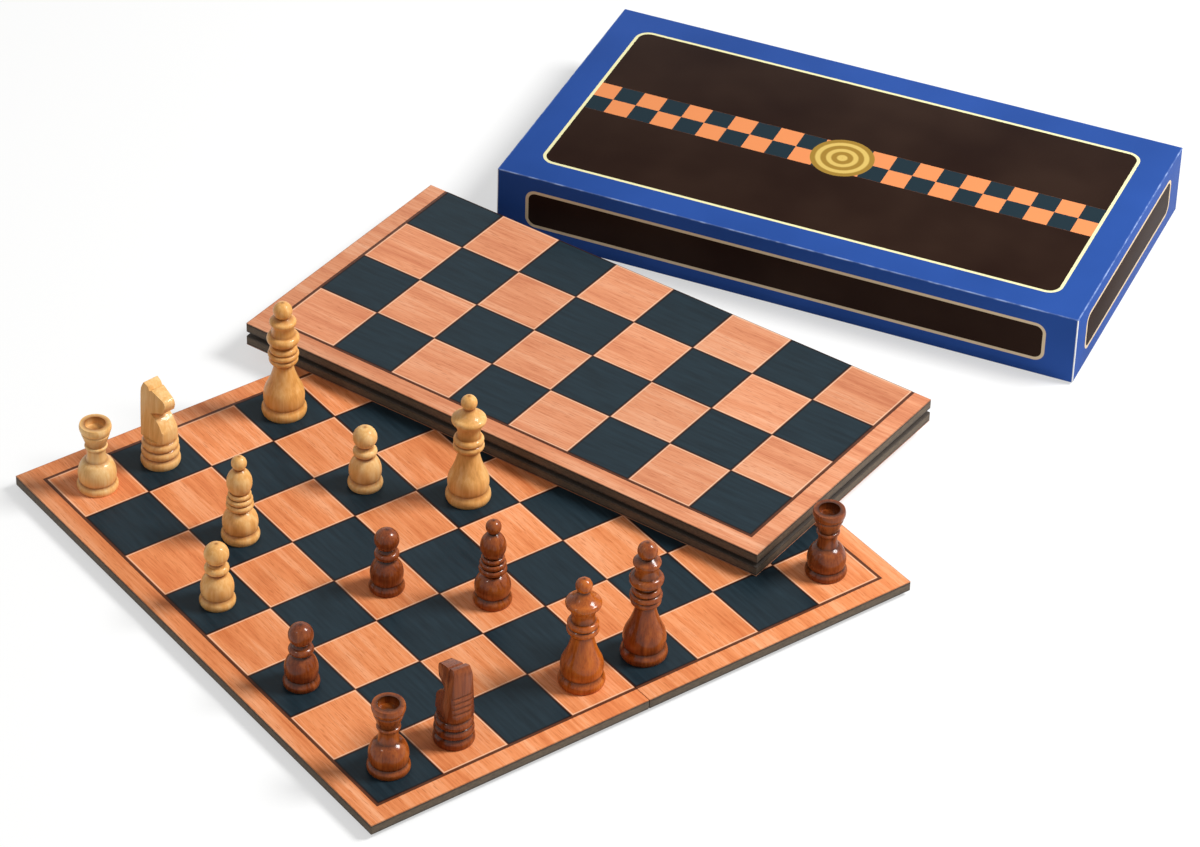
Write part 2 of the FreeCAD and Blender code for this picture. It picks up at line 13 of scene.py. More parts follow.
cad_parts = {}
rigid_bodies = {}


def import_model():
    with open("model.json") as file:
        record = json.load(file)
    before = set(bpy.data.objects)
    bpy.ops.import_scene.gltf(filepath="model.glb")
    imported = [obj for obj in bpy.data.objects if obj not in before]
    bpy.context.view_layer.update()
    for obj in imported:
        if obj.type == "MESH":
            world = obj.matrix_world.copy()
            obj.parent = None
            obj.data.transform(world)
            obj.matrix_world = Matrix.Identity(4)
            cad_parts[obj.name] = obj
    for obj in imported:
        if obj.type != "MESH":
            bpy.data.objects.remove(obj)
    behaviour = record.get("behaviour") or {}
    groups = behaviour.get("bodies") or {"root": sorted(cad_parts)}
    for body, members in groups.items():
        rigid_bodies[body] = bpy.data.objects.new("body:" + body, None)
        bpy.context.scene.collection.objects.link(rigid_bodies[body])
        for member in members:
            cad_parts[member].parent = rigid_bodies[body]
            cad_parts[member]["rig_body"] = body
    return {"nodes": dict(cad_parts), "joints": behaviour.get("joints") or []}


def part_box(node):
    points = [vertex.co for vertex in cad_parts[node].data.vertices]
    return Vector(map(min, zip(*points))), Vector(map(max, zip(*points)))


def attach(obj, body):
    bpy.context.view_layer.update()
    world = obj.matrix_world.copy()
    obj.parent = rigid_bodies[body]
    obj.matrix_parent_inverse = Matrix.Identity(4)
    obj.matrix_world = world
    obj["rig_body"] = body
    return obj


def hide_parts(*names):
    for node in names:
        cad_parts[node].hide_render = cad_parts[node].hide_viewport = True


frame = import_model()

log = logging.getLogger("chess_set")
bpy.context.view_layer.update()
MM = 0.001
FULL_TURN = 2 * math.pi
Material = bpy.types.Material
Mesh = bpy.types.Mesh
Piece = bpy.types.Object
Shape = bmesh.types.BMesh
Socket = bpy.types.NodeSocket

# Names of the values that the meshes carry for their materials
OWN = "own_mm"
TONE = "tone"
SHADE = "shade"
SQUARE_UV = "square_uv"
# How deep a groove is, which sets the painted shade in it
GROOVE_SHADE = "groove"
STAIN = "stain"


class Colour(Enum):
    """Every colour of the set, as it looks in plain light."""

    # Painted shade in the grooves of the light men
    PALE_WOOD_GROOVE = "#8a4a18"
    PALE_WOOD_LOW = "#d3a05a"
    PALE_WOOD = "#ebba76"
    PALE_WOOD_HIGH = "#f6d7a0"
    HONEY_LOW = "#bd7732"
    HONEY = "#dc994c"
    HONEY_HIGH = "#eeba73"
    # Painted shade in the grooves of the dark men
    BROWN_STAIN_GROOVE = "#1c0803"
    BROWN_STAIN_LOW = "#361509"
    BROWN_STAIN = "#632a10"
    BROWN_STAIN_HIGH = "#8e461e"
    AMBER_STAIN_LOW = "#6d2f0c"
    AMBER_STAIN = "#ab5417"
    AMBER_STAIN_HIGH = "#cc7428"
    PRINT_LOW = "#cb7140"
    PRINT = "#e28d59"
    PRINT_HIGH = "#f0a97c"
    PRINT_PORE = "#b4602f"
    PRINT_LINE = "#f6cfae"
    PRINT_INK = "#3a1a10"
    SLATE_LOW = "#152229"
    SLATE_HIGH = "#213038"
    SLATE_RIM = "#120b08"
    FIBRE_LOW = "#332a22"
    FIBRE_HIGH = "#6a5a48"
    FELT_LOW = "#20241f"
    FELT_HIGH = "#3a4038"
    STEEL = "#b9b4a8"
    STEEL_DARK = "#7d786c"
    BLUE = "#2d509a"
    BLUE_LOW = "#28498e"
    PANEL = "#231510"
    PANEL_HIGH = "#2f2019"
    FRAME_LINE = "#ece6b2"
    SIDE_LINE = "#d6bf9e"
    # Painted highlight on the box's edges and corners
    WORN_BLUE = "#9db2dc"
    GOLD = "#d3b463"
    GOLD_LOW = "#9c7a34"
    RAW_CARD = "#efece4"
    LINING = "#d9d4c8"
    LINING_LOW = "#c6c0b2"
    GREY_CARD = "#a8a296"
    GREY_CARD_LOW = "#8b8579"
    FLOOR = "#f7f7f6"

    def linear(self) -> tuple[float, float, float, float]:
        """Turn the colour to linear light.

        Returns:
            Red, green, blue and full cover.
        """
        digits = self.value[1:]
        parts = [int(digits[start:start + 2], 16) / 255 for start in (0, 2, 4)]
        return (*((part / 12.92) if part <= 0.04045 else ((part + 0.055) / 1.055) ** 2.4
                  for part in parts), 1.0)


class Kind(Enum):
    """The kinds of men."""

    PAWN = "pawn"
    ROOK = "rook"
    KNIGHT = "knight"
    BISHOP = "bishop"
    QUEEN = "queen"
    KING = "king"


class Side(Enum):
    """The two sides of the game, by the record's slot for the wood of their men."""

    LIGHT = "light_boxwood"
    DARK = "dark_stained_wood"


class BoardState(Enum):
    """The two boards, by how they are shown."""

    OPEN = "open"
    FOLDED = "folded"


@dataclass(frozen=True)
class BoardSizes:
    """Sizes of both boards, in millimetres."""

    square: float = 36.0
    border: float = 11.0
    ranks: int = 8
    files: int = 4
    core: float = 5.0
    sheet: float = 0.4
    fold_gap: float = 2.4
    seam: float = 0.15
    ink_line: float = 1.5
    tile_rise: float = 0.03
    edge_round: float = 0.35

    @property
    def width(self) -> float:
        """Return the width of one leaf, from the seam to its outer edge."""
        return self.files * self.square + self.border

    @property
    def half_length(self) -> float:
        """Return half the length of the board along its seam."""
        return self.ranks * self.square / 2 + self.border

    @property
    def sheet_round(self) -> float:
        """Return the rounding of a printed sheet's edges."""
        return self.sheet / 3

    @property
    def underside(self) -> float:
        """Return the height of a leaf's underside over the hinge axis."""
        return self.fold_gap / 2

    @property
    def top(self) -> float:
        """Return the height of a leaf's printed face over the hinge axis."""
        return self.underside + self.core + self.sheet


@dataclass(frozen=True)
class Man:
    """One kind of man: its base, its height and its half outline in shares of both."""

    base: float
    height: float
    outline: tuple


BOARD = BoardSizes()
ROUND_TOP = None
# A step with one place is a straight line to it, and one with two is an arc through the first
MEN = {
    Kind.PAWN: Man(17.0, 35.0, (
        [(0.97, 0.0)], [(1.03, 0.05), (0.97, 0.10)], [(0.86, 0.145)],
        [(0.95, 0.29), (0.52, 0.505)], [(0.50, 0.53)],
        [(0.71, 0.59), (0.50, 0.65)], [(0.42, 0.69)], [ROUND_TOP, (0.0, 1.0)],
    )),
    Kind.ROOK: Man(20.0, 38.0, (
        [(0.97, 0.0)], [(1.02, 0.045), (0.97, 0.09)], [(0.88, 0.12)],
        [(0.95, 0.22), (0.70, 0.41)], [(0.52, 0.435)], [(0.46, 0.53), (0.48, 0.63)],
        [(0.57, 0.655), (0.49, 0.68)], [(0.70, 0.85)], [(0.67, 0.87)],
        [(0.79, 0.935), (0.75, 1.0)], [(0.51, 1.0)], [(0.49, 0.90)], [(0.0, 0.90)],
    )),
    Kind.KNIGHT: Man(19.4, 46.0, (
        [(0.97, 0.0)], [(1.02, 0.043), (0.97, 0.085)], [(0.86, 0.112)],
        [(0.98, 0.165), (0.84, 0.218)], [(0.94, 0.266), (0.82, 0.314)], [(0.84, 0.357)],
        [(0.0, 0.357)],
    )),
    Kind.BISHOP: Man(18.4, 48.0, (
        [(0.97, 0.0)], [(1.03, 0.04), (0.97, 0.08)], [(0.86, 0.11)],
        [(0.95, 0.21), (0.46, 0.355)], [(0.46, 0.375)], [(0.74, 0.41), (0.56, 0.445)],
        [(0.70, 0.475), (0.52, 0.51)], [(0.62, 0.54), (0.48, 0.57)],
        [(0.68, 0.70), (0.26, 0.845)], [(0.26, 0.86)], [ROUND_TOP, (0.0, 1.0)],
    )),
    Kind.QUEEN: Man(22.0, 61.0, (
        [(0.97, 0.0)], [(1.02, 0.035), (0.97, 0.07)], [(0.88, 0.10)],
        [(0.93, 0.18), (0.80, 0.26)], [(0.56, 0.38), (0.47, 0.47)], [(0.49, 0.49)],
        [(0.70, 0.52), (0.60, 0.55)], [(0.68, 0.58), (0.52, 0.61)], [(0.50, 0.65)],
        [(0.56, 0.70), (0.70, 0.745)], [(0.78, 0.77), (0.68, 0.80)],
        [(0.44, 0.83), (0.24, 0.885)], [ROUND_TOP, (0.0, 1.0)],
    )),
    Kind.KING: Man(22.2, 66.0, (
        [(0.97, 0.0)], [(1.02, 0.033), (0.97, 0.066)], [(0.88, 0.09)],
        [(0.93, 0.17), (0.80, 0.25)], [(0.54, 0.36), (0.42, 0.45)], [(0.44, 0.465)],
        [(0.66, 0.49), (0.58, 0.515)], [(0.70, 0.54), (0.58, 0.565)],
        [(0.62, 0.59), (0.48, 0.612)], [(0.48, 0.64)], [(0.74, 0.68), (0.54, 0.72)],
        [(0.50, 0.76), (0.58, 0.815)], [(0.60, 0.835), (0.52, 0.85)],
        [(0.30, 0.875)], [ROUND_TOP, (0.0, 1.0)],
    )),
}
KNIGHT_HEAD = (
    [(-0.88, 0.357)], [(-0.78, 0.93)], [(-0.64, 1.0)], [(-0.31, 0.978)], [(-0.22, 0.935)],
    [(-0.06, 0.952)], [(0.66, 0.90)], [(0.866, 0.866), (0.856, 0.80)], [(0.74, 0.738)],
    [(0.38, 0.716)], [(-0.06, 0.668)], [(0.5, 0.598), (0.89, 0.46)], [(0.85, 0.357)],
)


@dataclass(frozen=True)
class KnightCut:
    """How a knight's head is sawn: millimetres, radians, and shares for the mane's cuts."""

    blank: float = 18.4
    nape: float = 20.0
    nose: float = 1.2
    tilt: float = math.radians(51.0)
    eased: float = 0.55
    eased_from: float = math.radians(35)
    arc_steps: int = 8
    blank_lengths: int = 4
    mane_cuts: tuple = (0.45, 0.518, 0.586, 0.654)
    cut_half: float = 0.02
    cut_depth: float = 0.1

    def mane(self) -> list:
        """Work out the back of the neck.

        Returns:
            The steps up the neck, with the saw cuts of the mane.
        """
        (low_x, low), (high_x, high) = (step[0] for step in KNIGHT_HEAD[:2])
        slope = (high_x - low_x) / (high - low)
        cut = ((-self.cut_half, 0.0), (0.0, self.cut_depth), (self.cut_half, 0.0))
        return [[(low_x + slope * (height + rise - low) + depth, height + rise)]
                for height in self.mane_cuts for rise, depth in cut]

    def half_width(self, forward: float, height: float) -> float:
        """Work out how thick the head is at one place.

        Args:
            forward: distance in front of the axis.
            height: distance over the base.

        Returns:
            Half the width between the cheeks there.
        """
        man = MEN[Kind.KNIGHT]
        along = forward * math.sin(self.tilt) + height * math.cos(self.tilt)
        share = (along + man.base / 2) / (man.height + man.base / 2)
        return (self.nape + (self.nose - self.nape) * share) / 2


KNIGHT = KnightCut()


# Nodes


@dataclass(frozen=True)
class Recipe:
    """A kind of node: type, settings, the inputs that values fill in turn, and the output used."""

    kind: str
    settings: dict[str, str] = field(default_factory=dict)
    inputs: tuple[int | str, ...] = (0, 1, 2, 3, 4)
    output: int | str | None = 0


class Op(Enum):
    """The kinds of node in use."""

    ADD = Recipe("ShaderNodeMath", {"operation": "ADD"})
    SUBTRACT = Recipe("ShaderNodeMath", {"operation": "SUBTRACT"})
    MULTIPLY = Recipe("ShaderNodeMath", {"operation": "MULTIPLY"})
    DIVIDE = Recipe("ShaderNodeMath", {"operation": "DIVIDE"})
    REMAINDER = Recipe("ShaderNodeMath", {"operation": "FLOORED_MODULO"})
    MINIMUM = Recipe("ShaderNodeMath", {"operation": "MINIMUM"})
    MAXIMUM = Recipe("ShaderNodeMath", {"operation": "MAXIMUM"})
    ABSOLUTE = Recipe("ShaderNodeMath", {"operation": "ABSOLUTE"})
    ROUND = Recipe("ShaderNodeMath", {"operation": "ROUND"})
    FLOOR = Recipe("ShaderNodeMath", {"operation": "FLOOR"})
    ROOT = Recipe("ShaderNodeMath", {"operation": "SQRT"})
    SINE = Recipe("ShaderNodeMath", {"operation": "SINE"})
    SHIFT = Recipe("ShaderNodeVectorMath", {"operation": "ADD"})
    STRETCH = Recipe("ShaderNodeVectorMath", {"operation": "MULTIPLY"})
    SPLIT = Recipe("ShaderNodeSeparateXYZ", output=None)
    JOIN = Recipe("ShaderNodeCombineXYZ")
    SPAN = Recipe("ShaderNodeMapRange")
    NOISE = Recipe("ShaderNodeTexNoise", inputs=("Vector", "Scale", "Detail", "Distortion"))
    RAMP = Recipe("ShaderNodeValToRGB")
    MIX = Recipe("ShaderNodeMix", {"data_type": "RGBA"}, (0, 6, 7), 2)
    TINT = Recipe("ShaderNodeHueSaturation", inputs=("Saturation", "Value", "Color"))
    BUMP = Recipe("ShaderNodeBump", inputs=("Height", "Distance", "Strength"))
    VECTOR_OF = Recipe("ShaderNodeAttribute", output="Vector")
    NUMBER_OF = Recipe("ShaderNodeAttribute", output="Fac")
    PLACE = Recipe("ShaderNodeTexCoord", output="Object")
    RAY = Recipe("ShaderNodeLightPath", output=None)
    SHADER = Recipe("ShaderNodeBsdfPrincipled")
    MATT = Recipe("ShaderNodeBsdfDiffuse", inputs=("Color",))
    GLOW = Recipe("ShaderNodeEmission", inputs=("Color", "Strength"))
    LAYERS = Recipe("ShaderNodeMixShader")
    SURFACE = Recipe("ShaderNodeOutputMaterial", inputs=("Surface",), output=None)
    SKY = Recipe("ShaderNodeBackground", inputs=("Color", "Strength"))
    WORLD = Recipe("ShaderNodeOutputWorld", inputs=("Surface",), output=None)
    GIVEN = Recipe("NodeGroupInput", output=None)
    RESULT = Recipe("NodeGroupOutput", output=None)
    GRID = Recipe("GeometryNodeMeshGrid", output=None,
                  inputs=("Size X", "Size Y", "Vertices X", "Vertices Y"))
    POINT = Recipe("GeometryNodeInputPosition")
    STORE = Recipe("GeometryNodeStoreNamedAttribute", inputs=("Geometry", "Name", "Value"))
    COPIES = Recipe("GeometryNodeInstanceOnPoints", inputs=("Points", "Instance", "Rotation"))
    PATTERN = Recipe("GeometryNodeObjectInfo", inputs=("Object",), output="Geometry")
    CHANCE = Recipe("FunctionNodeRandomValue", {"data_type": "FLOAT"}, ("Seed",), 1)
    TURN = Recipe("FunctionNodeRandomValue", {"data_type": "FLOAT_VECTOR"}, (1, "Seed"))
    REALISE = Recipe("GeometryNodeRealizeInstances")
    PAINT = Recipe("GeometryNodeSetMaterial", inputs=("Geometry", "Material"))


class Graph:
    """A node tree under construction."""

    def __init__(self, tree: bpy.types.NodeTree) -> None:
        """Take the tree that nodes are added to."""
        self.tree = tree

    def add(self, op: Op, *values: Any, named: dict[str, Any] | None = None,
            stops: Sequence[tuple[float, Colour]] = (), **settings: str) -> Any:
        """Add one node with its settings, values and links.

        Args:
            op: the kind of node.
            values: for each input in turn, a constant, a colour or another node's output.
            named: the same by the name of the input.
            stops: places and colours along a ramp.
            settings: further properties of the node.

        Returns:
            The output in use, or all outputs where the kind names none.
        """
        recipe = op.value
        node = self.tree.nodes.new(recipe.kind)
        for name, value in {**recipe.settings, **settings}.items():
            setattr(node, name, value)
        for key, value in (*zip(recipe.inputs, values), *(named or {}).items()):
            if isinstance(value, Socket):
                self.tree.links.new(value, node.inputs[key])
            else:
                constant = value.linear() if isinstance(value, Colour) else value
                node.inputs[key].default_value = constant
        if stops:
            elements = node.color_ramp.elements
            while len(elements) < len(stops):
                elements.new(1.0)
            for element, (place, colour) in zip(elements, stops):
                element.position = place
                element.color = colour.linear()
        return node.outputs if recipe.output is None else node.outputs[recipe.output]


def per_mm(*sizes: float) -> tuple[float, ...]:
    """Return how often marks of these sizes in millimetres repeat in one, to two figures."""
    return tuple(float(f"{1 / size:.2g}") for size in sizes)


class Shade(Graph):
    """A material under construction."""

    def __init__(self, name: str) -> None:
        """Start an empty material.

        Args:
            name: name of the material.
        """
        self.material = bpy.data.materials.new(name)
        self.material.use_nodes = True
        super().__init__(self.material.node_tree)
        self.tree.nodes.clear()

    def surface(self, **sockets: Any) -> Material:
        """Finish the material.

        Args:
            sockets: what each socket of the shader takes, with underscores for spaces.

        Returns:
            The material.
        """
        named = {name.replace("_", " "): value for name, value in sockets.items()}
        self.add(Op.SURFACE, self.add(Op.SHADER, named=named))
        return self.material

    def place_mm(self) -> Socket:
        """Return the place on a piece that lies along the shared frame, in millimetres."""
        return self.add(Op.STRETCH, self.add(Op.PLACE), (1 / MM,) * 3)

    def grain(self, place: Socket, sizes: tuple, detail: float, warp: float = 0.0) -> Socket:
        """Draw a soft pattern out along its axes.

        Args:
            place: the place on the piece, in millimetres.
            sizes: how large its marks are along X, Y and Z, in millimetres.
            detail: how many finer layers lie over it.
            warp: how far it is bent.

        Returns:
            The pattern, between nought and one.
        """
        drawn_out = self.add(Op.STRETCH, place, per_mm(*sizes))
        return self.add(Op.NOISE, drawn_out, 1.0, detail, warp)

    def blend(self, first: Socket, second: Socket, share: float) -> Socket:
        """Add up two patterns.

        Args:
            first: the pattern that counts by the share.
            second: the pattern that counts by the rest.
            share: between nought and one.

        Returns:
            The sum.
        """
        parts = ((first, share), (second, 1 - share))
        return self.add(Op.ADD, *(self.add(Op.MULTIPLY, *part) for part in parts))

    def both(self, *masks: Socket) -> Socket:
        """Keep what every mask lets through.

        Args:
            masks: values between nought and one.

        Returns:
            Their product.
        """
        result = masks[0]
        for mask in masks[1:]:
            result = self.add(Op.MULTIPLY, result, mask)
        return result

    def rounded_box(self, across: Socket, along: Socket, half_across: float, half_along: float,
                    corner: float) -> Socket:
        """Measure how far a place is from a rounded rectangle.

        Args:
            across: the place one way from its middle.
            along: the place the other way.
            half_across: half its size one way.
            half_along: half its size the other way.
            corner: radius of its corners.

        Returns:
            The distance, negative inside.
        """
        add = self.add
        far = [add(Op.SUBTRACT, add(Op.ABSOLUTE, axis), half - corner)
               for axis, half in ((across, half_across), (along, half_along))]
        outside = [add(Op.MAXIMUM, value, 0.0) for value in far]
        length = add(Op.ROOT, add(Op.ADD, *(add(Op.MULTIPLY, part, part) for part in outside)))
        inside = add(Op.MINIMUM, add(Op.MAXIMUM, *far), 0.0)
        return add(Op.SUBTRACT, add(Op.ADD, length, inside), corner)


# Finishes

# Most of a soft pattern lies between these two values
SOFT_LOW, SOFT_HIGH = 0.3, 0.7


@dataclass(frozen=True)
class TurnedWood:
    """The wood of one side's men, turned, sanded and varnished; marks are in millimetres."""

    name: str
    plain: tuple[Colour, Colour, Colour]
    warm: tuple[Colour, Colour, Colour]
    # Colour of the painted shade in the grooves
    groove: Colour
    roughness: float
    varnish: float
    ring: tuple = (6.25, 6.25, 83.0)
    streak: tuple = (0.91, 0.91, 20.0)
    fleck: tuple = (0.33, 0.33, 6.25)
    lathe_mark: tuple = (math.inf, math.inf, 0.38)
    ring_share: float = 0.62
    lathe_share: float = 0.5
    tone_places: tuple = (0.22, 0.46, 0.72)
    fleck_range: tuple = (0.60, 0.75)
    fleck_cover: float = 0.28
    groove_shade_cover: float = 0.9
    roughness_spread: float = 0.12
    relief: float = 0.10
    relief_strength: float = 0.5
    specular: float = 0.1
    varnish_roughness: float = 0.09

    def material(self) -> Material:
        """Make the wood, with its grain along each man's own axis.

        Returns:
            The material.
        """
        # Close-grained wood under thin varnish: long streaks, a stain that is warmer on some men,
        # painted shade in the grooves, faint rings from the lathe, and small bright spots.
        # Its pores are about 0.05 mm wide and the lathe's marks about 0.1 mm; both are drawn
        # at a third of a millimetre or more, so that they show.
        shade = Shade(self.name)
        add = shade.add
        own = add(Op.VECTOR_OF, attribute_name=OWN)
        rings = shade.grain(own, self.ring, detail=2.0, warp=1.2)
        streaks = shade.grain(own, self.streak, detail=4.0)
        flecks = shade.grain(own, self.fleck, detail=2.0)
        lathe = shade.grain(own, self.lathe_mark, detail=2.0)
        tone = shade.blend(rings, streaks, self.ring_share)
        plain, warm = (add(Op.RAMP, tone, stops=list(zip(self.tone_places, colours)))
                       for colours in (self.plain, self.warm))
        wood = add(Op.MIX, add(Op.NUMBER_OF, attribute_name=STAIN), plain, warm)
        pores = add(Op.SPAN, flecks, *self.fleck_range, 0.0, self.fleck_cover)
        grained = add(Op.MIX, pores, wood, self.plain[0])
        # Painted shade: each groove is darkened by its depth
        groove_shade_amount = add(Op.MULTIPLY, add(Op.NUMBER_OF, attribute_name=GROOVE_SHADE), self.groove_shade_cover)
        return shade.surface(
            Base_Color=add(Op.MIX, groove_shade_amount, grained, self.groove),
            Roughness=add(Op.SPAN, streaks, SOFT_LOW, SOFT_HIGH, self.roughness,
                          self.roughness + self.roughness_spread),
            Normal=add(Op.BUMP, shade.blend(lathe, flecks, self.lathe_share), self.relief * MM,
                       self.relief_strength),
            Specular_IOR_Level=self.specular, Coat_Weight=self.varnish,
            Coat_Roughness=self.varnish_roughness,
        )


BOXWOOD = TurnedWood(
    "light_turned_boxwood", (Colour.PALE_WOOD_LOW, Colour.PALE_WOOD, Colour.PALE_WOOD_HIGH),
    (Colour.HONEY_LOW, Colour.HONEY, Colour.HONEY_HIGH), Colour.PALE_WOOD_GROOVE, 0.34, 0.25)
STAINED_WOOD = TurnedWood(
    "dark_stained_turned_wood",
    (Colour.BROWN_STAIN_LOW, Colour.BROWN_STAIN, Colour.BROWN_STAIN_HIGH),
    (Colour.AMBER_STAIN_LOW, Colour.AMBER_STAIN, Colour.AMBER_STAIN_HIGH),
    Colour.BROWN_STAIN_GROOVE, 0.24, 0.4)


@dataclass(frozen=True)
class PrintedSheet:
    """The paper of one board, printed and laminated in satin; sizes are in millimetres."""

    board: BoardState
    # How saturated and bright the whole print is; below one, it is painted darker as shade
    strength: float
    brightness: float
    band: tuple = (11.1, 100.0, 10.0)
    streak: tuple = (1.11, 28.6, 10.0)
    pore: tuple = (0.38, 6.25, 10.0)
    slate: tuple = (2.0, 20.0, 10.0)
    band_share: float = 0.6
    pore_range: tuple = (0.56, 0.70)
    pore_cover: float = 0.6
    # Two ways for a square's own chance to move its grain
    chance_shift: tuple = (700.0, 1900.0)
    chance_brightness: tuple = (0.93, 1.05)
    border_shift: tuple = (31.0, 17.0, 0.0)
    # Where each line of the print starts and ends, from the edge of a square inwards
    pale_line_in: tuple = (1.10, 0.85)
    pale_line_out: tuple = (0.20, 0.40)
    pale_line_cover: float = 0.55
    slate_rim: tuple = (1.25, 0.70)
    slate_rim_cover: float = 0.8
    ink_gap: tuple = (0.45, 0.2)
    ink_cover: tuple = (0.75, 0.9)
    pressed_edge: tuple = (0.1, 0.6)
    pressed_share: float = 0.6
    frame_blur: float = 0.2
    frame_cover: float = 0.92
    scuff: tuple = (-0.55, -0.15)
    scuff_cover: float = 0.5
    roughness: tuple = (0.36, 0.50)
    specular: float = 0.1
    laminate: float = 0.03
    laminate_roughness: float = 0.3
    field_relief: float = 0.04
    border_relief: float = 0.03
    relief_strength: float = 0.6

    def wood_print(self, shade: Shade, own: Socket, offset: Any) -> tuple[Socket, Socket]:
        """Draw the printed salmon wood.

        Args:
            shade: the material under construction.
            own: the place on the leaf, in millimetres.
            offset: how far the grain is moved.

        Returns:
            The colour and the pattern of its pores.
        """
        add = shade.add
        moved = add(Op.SHIFT, own, offset)
        band = shade.grain(moved, self.band, detail=3.0, warp=0.8)
        streak = shade.grain(moved, self.streak, detail=4.0)
        pore = shade.grain(moved, self.pore, detail=2.0)
        wood = add(Op.RAMP, shade.blend(band, streak, self.band_share), stops=(
            (0.32, Colour.PRINT_LOW), (0.50, Colour.PRINT), (0.68, Colour.PRINT_HIGH)))
        pores = add(Op.SPAN, pore, *self.pore_range, 0.0, self.pore_cover)
        inked = add(Op.MIX, pores, wood, Colour.PRINT_PORE)
        # Painted shade on the folded board: its whole print is made duller and darker
        return add(Op.TINT, self.strength, self.brightness, inked), pore

    def finish(self, shade: Shade, colour: Socket, dull: Socket, normal: Socket) -> Material:
        """Lay the satin laminate over the print.

        Args:
            shade: the material under construction.
            colour: the print.
            dull: the pattern that makes it rougher.
            normal: its relief.

        Returns:
            The material.
        """
        return shade.surface(
            Base_Color=colour, Normal=normal,
            Roughness=shade.add(Op.SPAN, dull, SOFT_LOW, SOFT_HIGH, *self.roughness),
            Specular_IOR_Level=self.specular, Coat_Weight=self.laminate,
            Coat_Roughness=self.laminate_roughness,
        )

    def field(self) -> Material:
        """Make the printed squares.

        Returns:
            The material.
        """
        # Satin laminated paper with a print of salmon wood and slate: flat, with hardly any
        # shine, each square of its own piece of grain, a pale line just inside the salmon ones
        # and a dark rim on the slate. Pores of the printed wood are drawn at 0.4 mm, so that
        # they show.
        shade = Shade(f"{self.board.value}_field_laminated_paper")
        add = shade.add
        own = add(Op.VECTOR_OF, attribute_name=OWN)
        chance = add(Op.NUMBER_OF, attribute_name=SHADE)
        dark = add(Op.NUMBER_OF, attribute_name=TONE)
        corner = add(Op.SPLIT, add(Op.VECTOR_OF, attribute_name=SQUARE_UV))
        sides = [add(Op.SUBTRACT, 0.5, add(Op.ABSOLUTE, add(Op.SUBTRACT, corner[axis], 0.5)))
                 for axis in (0, 1)]
        edge = add(Op.MULTIPLY, add(Op.MINIMUM, *sides), BOARD.square)
        offset = add(Op.JOIN, *(add(Op.MULTIPLY, chance, reach) for reach in self.chance_shift))
        wood, pore = self.wood_print(shade, own, offset)
        brightness = add(Op.SPAN, chance, 0.0, 1.0, *self.chance_brightness)
        tinted = add(Op.TINT, 1.0, brightness, wood)
        line = shade.both(add(Op.SPAN, edge, *self.pale_line_in),
                          add(Op.SPAN, edge, *self.pale_line_out))
        light = add(Op.MIX, add(Op.MULTIPLY, line, self.pale_line_cover), tinted, Colour.PRINT_LINE)
        grey = shade.grain(own, self.slate, detail=4.0)
        plain = add(Op.RAMP, grey, stops=((0.30, Colour.SLATE_LOW), (0.80, Colour.SLATE_HIGH)))
        rim = add(Op.SPAN, edge, *self.slate_rim, 0.0, self.slate_rim_cover)
        squares = add(Op.MIX, dark, light, add(Op.MIX, rim, plain, Colour.SLATE_RIM))
        ink = shade.both(add(Op.SPAN, edge, *self.ink_gap),
                         add(Op.SPAN, dark, 0.0, 1.0, *self.ink_cover))
        pressed = add(Op.SPAN, edge, *self.pressed_edge, 0.0, self.pressed_share)
        relief = add(Op.ADD, add(Op.MULTIPLY, pore, self.pressed_share), pressed)
        normal = add(Op.BUMP, relief, self.field_relief * MM, self.relief_strength)
        return self.finish(shade, add(Op.MIX, ink, squares, Colour.PRINT_INK), grey, normal)

    def border(self) -> Material:
        """Make the printed border.

        Returns:
            The material.
        """
        # The same laminated paper: salmon wood, a dark inked line round the squares, and an
        # outer edge that handling has scuffed down to the board.
        shade = Shade(f"{self.board.value}_border_laminated_paper")
        add = shade.add
        own = add(Op.VECTOR_OF, attribute_name=OWN)
        wood, pore = self.wood_print(shade, own, self.border_shift)
        x, y, _ = add(Op.SPLIT, own)

        def beyond(half_x: float, half_y: float) -> Socket:
            """Return how far a place lies outside the field, or the leaf, of that size."""
            past_y = add(Op.SUBTRACT, add(Op.ABSOLUTE, y), half_y)
            return add(Op.MAXIMUM, add(Op.SUBTRACT, x, half_x), past_y)

        half_field = BOARD.files * BOARD.square
        line = add(Op.SPAN, beyond(half_field, half_field), BOARD.ink_line,
                   BOARD.ink_line - self.frame_blur)
        lined = add(Op.MIX, add(Op.MULTIPLY, line, self.frame_cover), wood, Colour.PRINT_INK)
        wear_and_highlight = add(Op.SPAN, beyond(BOARD.width, BOARD.half_length), *self.scuff)
        scuffed = add(Op.MIX, add(Op.MULTIPLY, wear_and_highlight, self.scuff_cover), lined, Colour.FIBRE_LOW)
        normal = add(Op.BUMP, pore, self.border_relief * MM, self.relief_strength)
        return self.finish(shade, scuffed, pore, normal)


# Painted shade: the folded board's print is painted duller and darker, as the key lamp lights it
# more
OPEN_SHEET = PrintedSheet(BoardState.OPEN, 1.0, 0.98)
FOLDED_SHEET = PrintedSheet(BoardState.FOLDED, 0.92, 0.89)


